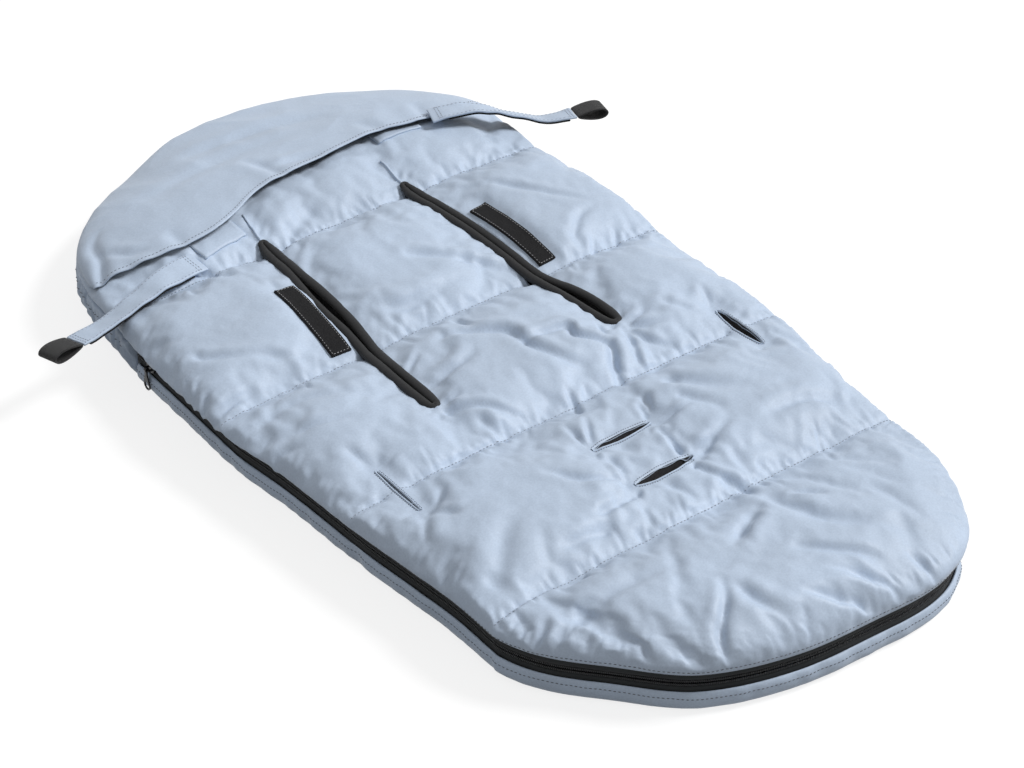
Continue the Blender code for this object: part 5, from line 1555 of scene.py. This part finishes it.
def laid_strip(name, start, end, width, thickness, cells, look, slot, node, lift=0.0006, smooth_over=0.006):
    """Flat strip sewn onto the back, following its settled surface; gives a function of its top."""
    first = Vector(start)
    run = Vector(end) - first
    side = Vector((-run.y, run.x)).normalized()

    def height(spot):
        total = 0.0
        for dx, dy in ((0, 0), (1, 0), (-1, 0), (0, 1), (0, -1)):
            total += on_back(spot.x + dx * smooth_over, spot.y + dy * smooth_over)[0].z
        return 0.5 * total / 5 + 0.5 * max(total / 5, on_back(spot.x, spot.y)[0].z)

    def place(u, v):
        spot = first + run * v + side * width * (u - 0.5)
        spot = laid(*spot)
        return *spot, height(spot) + lift + thickness

    work = shaped(cells, place, straight=False, span=(width, run.length))
    face_up(work)
    strip = new_piece(name, work, "back", look, slot)
    thicken(strip, thickness + lift, -1.0)
    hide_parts(node)
    return place


for side, side_name in ((-1, "left"), (1, "right")):
    patch_place = laid_strip(
        side_name + "_hook_patch", *patch_ends(side), PATCH_WIDTH, PATCH_THICKNESS, (8, 40), HOOK,
        "hook_tape", "hook_patch_" + side_name, smooth_over=0.003)
    border = []
    across = PATCH_STITCH_INSET / PATCH_WIDTH
    down = PATCH_STITCH_INSET / PATCH_LENGTH
    corners = ((across, down), (1 - across, down), (1 - across, 1 - down), (across, 1 - down), (across, down))
    for (u0, v0), (u1, v1) in zip(corners, corners[1:]):
        length = math.hypot((u1 - u0) * PATCH_WIDTH, (v1 - v0) * PATCH_LENGTH)
        count = round(length / PATCH_STITCH_STEP)
        for k in range(count):
            here = (k + 0.5) / count
            place = Vector(patch_place(u0 + (u1 - u0) * here, v0 + (v1 - v0) * here))
            ahead = Vector(patch_place(u0 + (u1 - u0) * (here + 0.02), v0 + (v1 - v0) * (here + 0.02)))
            border.append((place, ahead - place, Vector((0.0, 0.0, 1.0))))
    stitches(side_name + "_patch_stitches", border, "back", PATCH_STITCH, GREY_THREAD)

# Anchor strips: flat strips of shell fabric sewn into the back above the harness slits, half hidden
# under the pocket's hem.
STRIP_X = 0.0890
STRIP_Y = SEAM_BACK + 0.0605
STRIP_SKEW = 0.24
STRIP_LENGTH = 0.050
STRIP_WIDTH = 0.023
STRIP_THICKNESS = 0.0014
STRIP_TURN = math.radians(6.0)
STRIP_SLANT = math.radians(15.0)
for side, side_name in ((-1, "left"), (1, "right")):
    turn = side * STRIP_TURN + STRIP_TURN
    start = Vector((side * STRIP_X, STRIP_Y + STRIP_SKEW * side * STRIP_X))
    run = STRIP_LENGTH * Vector((side * math.cos(turn), -math.sin(STRIP_SLANT - turn)))
    laid_strip(
        side_name + "_anchor_strip", start, start + run, STRIP_WIDTH, STRIP_THICKNESS, (8, 18), SHELL,
        "shell_fabric", "anchor_strip_" + side_name, lift=0.0004, smooth_over=0.004)

# Piped seams: a thin cord in a fold of shell fabric, sewn into the back in line with each harness slit,
# from the top of the slit up under the pocket's hem.
PIPING_RADIUS = 0.0011
PIPING_LENGTH = 0.036
PIPING_LEAN = 0.04


def piping(name, side):
    """Thin cord on the back from the top of a harness slit towards the head."""
    def place(u, v):
        along = SLIT_TOP_Y - 0.003 + PIPING_LENGTH * v
        spot = laid(side * (slit_x(SLIT_TOP_Y) - PIPING_LEAN * (along - SLIT_TOP_Y)), along)
        base = on_back(*spot)[0]
        angle = 2 * math.pi * u
        x = spot.x + PIPING_RADIUS * math.cos(angle)
        return x, spot.y, base.z + 0.0006 + PIPING_RADIUS * math.sin(angle)

    work = shaped((8, 18), place, weld=True, straight=False)
    close_ends(work)
    new_piece(name, work, "back", SHELL, "shell_fabric")


piping("left_piping", -1)
piping("right_piping", 1)

# Pocket stitching: one topstitched row of dark polyester thread above the free edge of the pocket.
# It holds the turned hem down.
HEM_STITCH = (0.0024, 0.0006)
hem_line = []
for k in range(121):
    share = -0.985 + 1.97 * k / 120
    x = share * (right_corner if share > 0 else left_corner)
    hem_line.append(laid(x, hem_y(share) + HEM_STITCH_GAP))
hem_spots = stitched_line(hem_line, SEAM_STITCH_STEP, pocket_tree)
stitches("hem_topstitch", hem_spots, "back", HEM_STITCH, DARK_THREAD)

# Hood rim: a padded tunnel of shell fabric round the head end, gathered by the elastic inside it,
# sewn to the back and free along its lower edge.
RIM_HEIGHT = 0.0425
RIM_THICKNESS = 0.013
RIM_END_SHARE = 0.6
RIM_BULGE = 0.0035
RIM_RUFFLE = 0.0034
RIM_TUCK = 0.010
RIM_LOW_Y = COVER_TOP_Y + 0.0035
RIM_STITCH = (0.0026, 0.0008)
RIM_STEPS = 620
RIM_ROWS = 12
RIM_SIDES = 2 * RIM_ROWS


def rim_points():
    """Plan points of the rim, from the left zip top round the head."""
    side_run = HEAD_BASE - RIM_LOW_Y
    arc_run = HEAD_DEPTH * math.pi
    total = 2 * side_run + arc_run
    points = []
    for k in range(RIM_STEPS + 1):
        run = total * k / RIM_STEPS
        if run < side_run or run > side_run + arc_run:
            right = run > total / 2
            y = RIM_LOW_Y + (total - run if right else run)
            points.append(Vector(((1 if right else -1) * half_width(y), y)))
            continue
        angle = (run - side_run) / arc_run * math.pi
        c = -math.cos(angle)
        s = math.sin(angle)
        reach = rim_reach(c, s, HEAD_POWER)
        points.append(Vector((half_width(HEAD_BASE) * c * reach, HEAD_BASE + HEAD_DEPTH * s * reach)))
    return points


RIM_LINE = rim_points()
RIM_OUT = outward(RIM_LINE, -1)


def rim_place(u, v):
    k = round(v * RIM_STEPS)
    row = round(u * RIM_SIDES) % RIM_SIDES
    outside = row <= RIM_ROWS
    height = row / RIM_ROWS if outside else (RIM_SIDES - 1 - row) / (RIM_ROWS - 2)
    belly = math.sin(math.pi * height)
    away = -RIM_TUCK * (1 - height)
    pleat = abs(noise.noise(Vector((k * 0.17, height * 0.9, 3.0))))
    ruffle = 1 - 4.2 * pleat + 0.8 * noise.noise(Vector((k * 0.50, height * 2.4, 9.0)))
    if outside:
        away += RIM_BULGE * belly + RIM_RUFFLE * ruffle * (0.30 + 0.70 * belly)
    else:
        away -= RIM_THICKNESS * (RIM_END_SHARE + (1 - RIM_END_SHARE) * belly)
    spot = RIM_LINE[k] + RIM_OUT[k] * away
    z = RIM_HEIGHT * height + (0.0012 * ruffle * (1 - height) if outside else 0.0)
    return spot.x, spot.y, max(z, 0.0)


work = shaped((RIM_SIDES, RIM_STEPS), rim_place, weld=True, span=(0.1, 1.0))
close_ends(work)
rim = padded_piece("gathered_rim", work, "back", SHELL, "shell_fabric", "hood_rim", 1)
rim_tree = surface_of(rim)
rim_spots = []
for k in range(6, RIM_STEPS - 6, 3):
    guess = lay((*(RIM_LINE[k] + RIM_OUT[k] * 0.004), RIM_HEIGHT * 0.80))
    place, up = rim_tree.find_nearest(guess)[:2]
    ahead = lay((*RIM_LINE[k + 2], RIM_HEIGHT)) - lay((*RIM_LINE[k - 2], RIM_HEIGHT))
    rim_spots.append((place, ahead, up))
stitches("rim_topstitch", rim_spots, "back", RIM_STITCH, DARK_THREAD)

# Straps: a band of shell fabric with a strip of black hook tape under it and a loop of black webbing
# at its end. Each is sewn on at its root and was laid straight out beside the muff.
STRAP_ROOT_X = 0.1455
STRAP_SHIFT = 0.0031
STRAP_ROOT_Y = SEAM_BACK + 0.0425
STRAP_SKEW = 0.18
STRAP_SLANT = math.radians(15.0)
STRAP_TURN = math.radians(5.0)
STRAP_WIDTH = 0.0255
STRAP_THICKNESS = 0.0022
STRAP_LENGTH = 0.146
STRAP_END_Z = 0.0590
STRAP_LIFT = 0.0030
STRAP_DROP_SHARES = (
    (0.0, 0.0), (0.22, 0.0), (0.36, 0.14), (0.52, 0.48), (0.70, 0.86), (0.84, 1.02), (1.0, 1.0),
)
STRAP_WAVE = 0.0016
STRAP_TWIST = 0.38
STRAP_TWIST_SHARES = ((0.0, 0.0), (0.25, 0.25), (0.55, 1.0), (0.8, 0.85), (1.0, 0.5))
STRAP_LIFT_SHARES = ((0.0, 0.0), (0.1, 0.6), (0.25, 1.0), (0.5, 0.6), (0.75, 0.0), (1.0, 0.0))
STRAP_STEPS = 70
STRAP_STITCH = (0.0026, 0.0007)
STRAP_STITCH_INSET = 0.0022
STRAP_ROWS = (0.0070, 0.0100, STRAP_LENGTH - 0.003, STRAP_LENGTH - 0.006)
HOOK_TAPE_THICKNESS = 0.0018
HOOK_TAPE_START = 0.016
HOOK_TAPE_SHORTER = 0.023
SEAT_GAP = 0.0003
ROOT_GAP = 0.0002
LOOP_STEPS = 60
LOOP_LENGTH = 0.030
LOOP_HEIGHT = 0.0140
LOOP_THICKNESS = 0.0014
LOOP_WIDTH = 0.0245
LOOP_ROOT_SHARE = 0.40
SEAT_CROWN = 0.0145
POCKET_SEAT_THICKNESS = 0.0024
HEAD_SEAM = FOOT_Y + MUFF_LENGTH * 0.84216
WEBBING = patterned(
    "webbing", (0.028, 0.028, 0.029), 0.8, ribs_of("Y", 190.0, 0.4, "UV"),
    ((0.016, 0.016, 0.017), (0.042, 0.042, 0.043)), (0.6, 0.0004),
    sheen=0.12, specular=0.25)


def strap_seat(x, y, over_pocket):
    """Height of the shoulder, or of the pocket over it, where a strap's root is sewn on."""
    if over_pocket:
        return pocket_under(x, y) + POCKET_SEAT_THICKNESS
    return panel_top(x, y, (*SEAMS, HEAD_SEAM), SEAT_CROWN)


def ribbon(name, points, sides, width, thickness, look, body, slot, node, wave, closed=False):
    """Band of cloth along a route; sides give the direction of its width, wave its small unevenness."""
    count = len(points)

    def place(u, v):
        k = round(v * (count - 1))
        spot = points[k] + sides[k] * width * (u - 0.5)
        spot.z += wave * noise.noise(Vector((spot.x * 60.0, spot.y * 60.0, 5.0)))
        return spot

    work = shaped((8, count - 1), place, weld=closed, straight=False, span=(width, 0.01 * count))
    if not closed:
        face_up(work)
    piece = new_piece(name, work, body, look, slot)
    thicken(piece, thickness, 0.0)
    edge = piece.modifiers.new("soft_edge", "BEVEL")
    edge.width = thickness * 0.3
    edge.segments = 2
    edge.limit_method = "ANGLE"
    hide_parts(node)
    return piece


def strap(side, side_name):
    """One strap: its band, its hook tape, its webbing loop and its stitches."""
    root_x = side * STRAP_ROOT_X + STRAP_SHIFT
    root_y = STRAP_ROOT_Y + STRAP_SKEW * root_x

    def seat(y):
        return lay((root_x, y, strap_seat(root_x, y, side > 0)))

    root = seat(root_y)
    head_edge = seat(root_y + STRAP_WIDTH / 2).z
    foot_edge = seat(root_y - STRAP_WIDTH / 2).z
    root.z = max(root.z, (head_edge + foot_edge) / 2) + ROOT_GAP + STRAP_THICKNESS / 2
    slant = STRAP_SLANT + side * STRAP_TURN
    out = Vector((side * math.cos(slant), -math.sin(slant), 0.0))
    level = Vector((-out.y, out.x, 0.0)) * side
    slope = Vector((0.0, 0.0, (head_edge - foot_edge) / STRAP_WIDTH))

    def route(distance, lower):
        share = min(distance / STRAP_LENGTH, 1.0)
        drop = (root.z - STRAP_END_Z) * smooth_table(STRAP_DROP_SHARES, share)
        lift = STRAP_LIFT * smooth_table(STRAP_LIFT_SHARES, share)
        return root + out * distance - Vector((0.0, 0.0, drop - lift + lower))

    def tilt(distance):
        share = min(distance / STRAP_LENGTH, 1.0)
        twist = STRAP_TWIST * smooth_table(STRAP_TWIST_SHARES, share)
        return (level + slope * (1 - share) - Vector((0.0, 0.0, twist))).normalized()

    body = side_name + "_strap"

    def layer(name, start, run, lower, thickness, look, slot, node):
        steps = [start + run * k / STRAP_STEPS for k in range(STRAP_STEPS + 1)]
        points = [route(distance, lower) for distance in steps]
        sides = [tilt(distance) for distance in steps]
        return ribbon(name, points, sides, STRAP_WIDTH, thickness, look, body, slot, node, STRAP_WAVE)

    band = layer(
        body + "_band", 0.0, STRAP_LENGTH, 0.0, STRAP_THICKNESS, SHELL, "shell_fabric", "strap_" + side_name)
    layer(
        body + "_hooks", HOOK_TAPE_START, STRAP_LENGTH - HOOK_TAPE_SHORTER,
        (STRAP_THICKNESS + HOOK_TAPE_THICKNESS) / 2 + SEAT_GAP, HOOK_TAPE_THICKNESS, HOOK, "hook_tape",
        "strap_hook_tape_" + side_name)
    loop = []
    base = route(STRAP_LENGTH, 0.0) + out * (SEAT_GAP + LOOP_THICKNESS)
    for k in range(LOOP_STEPS + 1):
        angle = 2 * math.pi * k / LOOP_STEPS
        along = LOOP_LENGTH / 2 * (1 - math.cos(angle))
        lean = math.sin(angle) * (LOOP_ROOT_SHARE + (1 - LOOP_ROOT_SHARE) * (1 - math.cos(angle)) / 2)
        loop.append(base + out * along + Vector((0.0, 0.0, LOOP_HEIGHT / 2 * lean)))
    ribbon(
        body + "_webbing", loop, [tilt(STRAP_LENGTH)] * (LOOP_STEPS + 1), LOOP_WIDTH, LOOP_THICKNESS, WEBBING,
        body, "webbing", "strap_loop_" + side_name, 0.0, True)

    tree = surface_of(band)
    spots = []

    def sew(distance, aside, along):
        guess = route(distance, -STRAP_THICKNESS / 2) + tilt(distance) * aside
        place, up = tree.find_nearest(guess)[:2]
        spots.append((place, along, up))

    border = STRAP_WIDTH / 2 - STRAP_STITCH_INSET
    for edge in (-1, 1):
        for k in range(4, STRAP_STEPS - 2, 2):
            sew(STRAP_LENGTH * k / STRAP_STEPS, edge * border, out)
    for row in STRAP_ROWS:
        for k in range(7):
            sew(row, (k / 3 - 1) * border, level)
    stitches(body + "_stitches", spots, body, STRAP_STITCH, PALE_THREAD)


strap(-1, "left")
strap(1, "right")
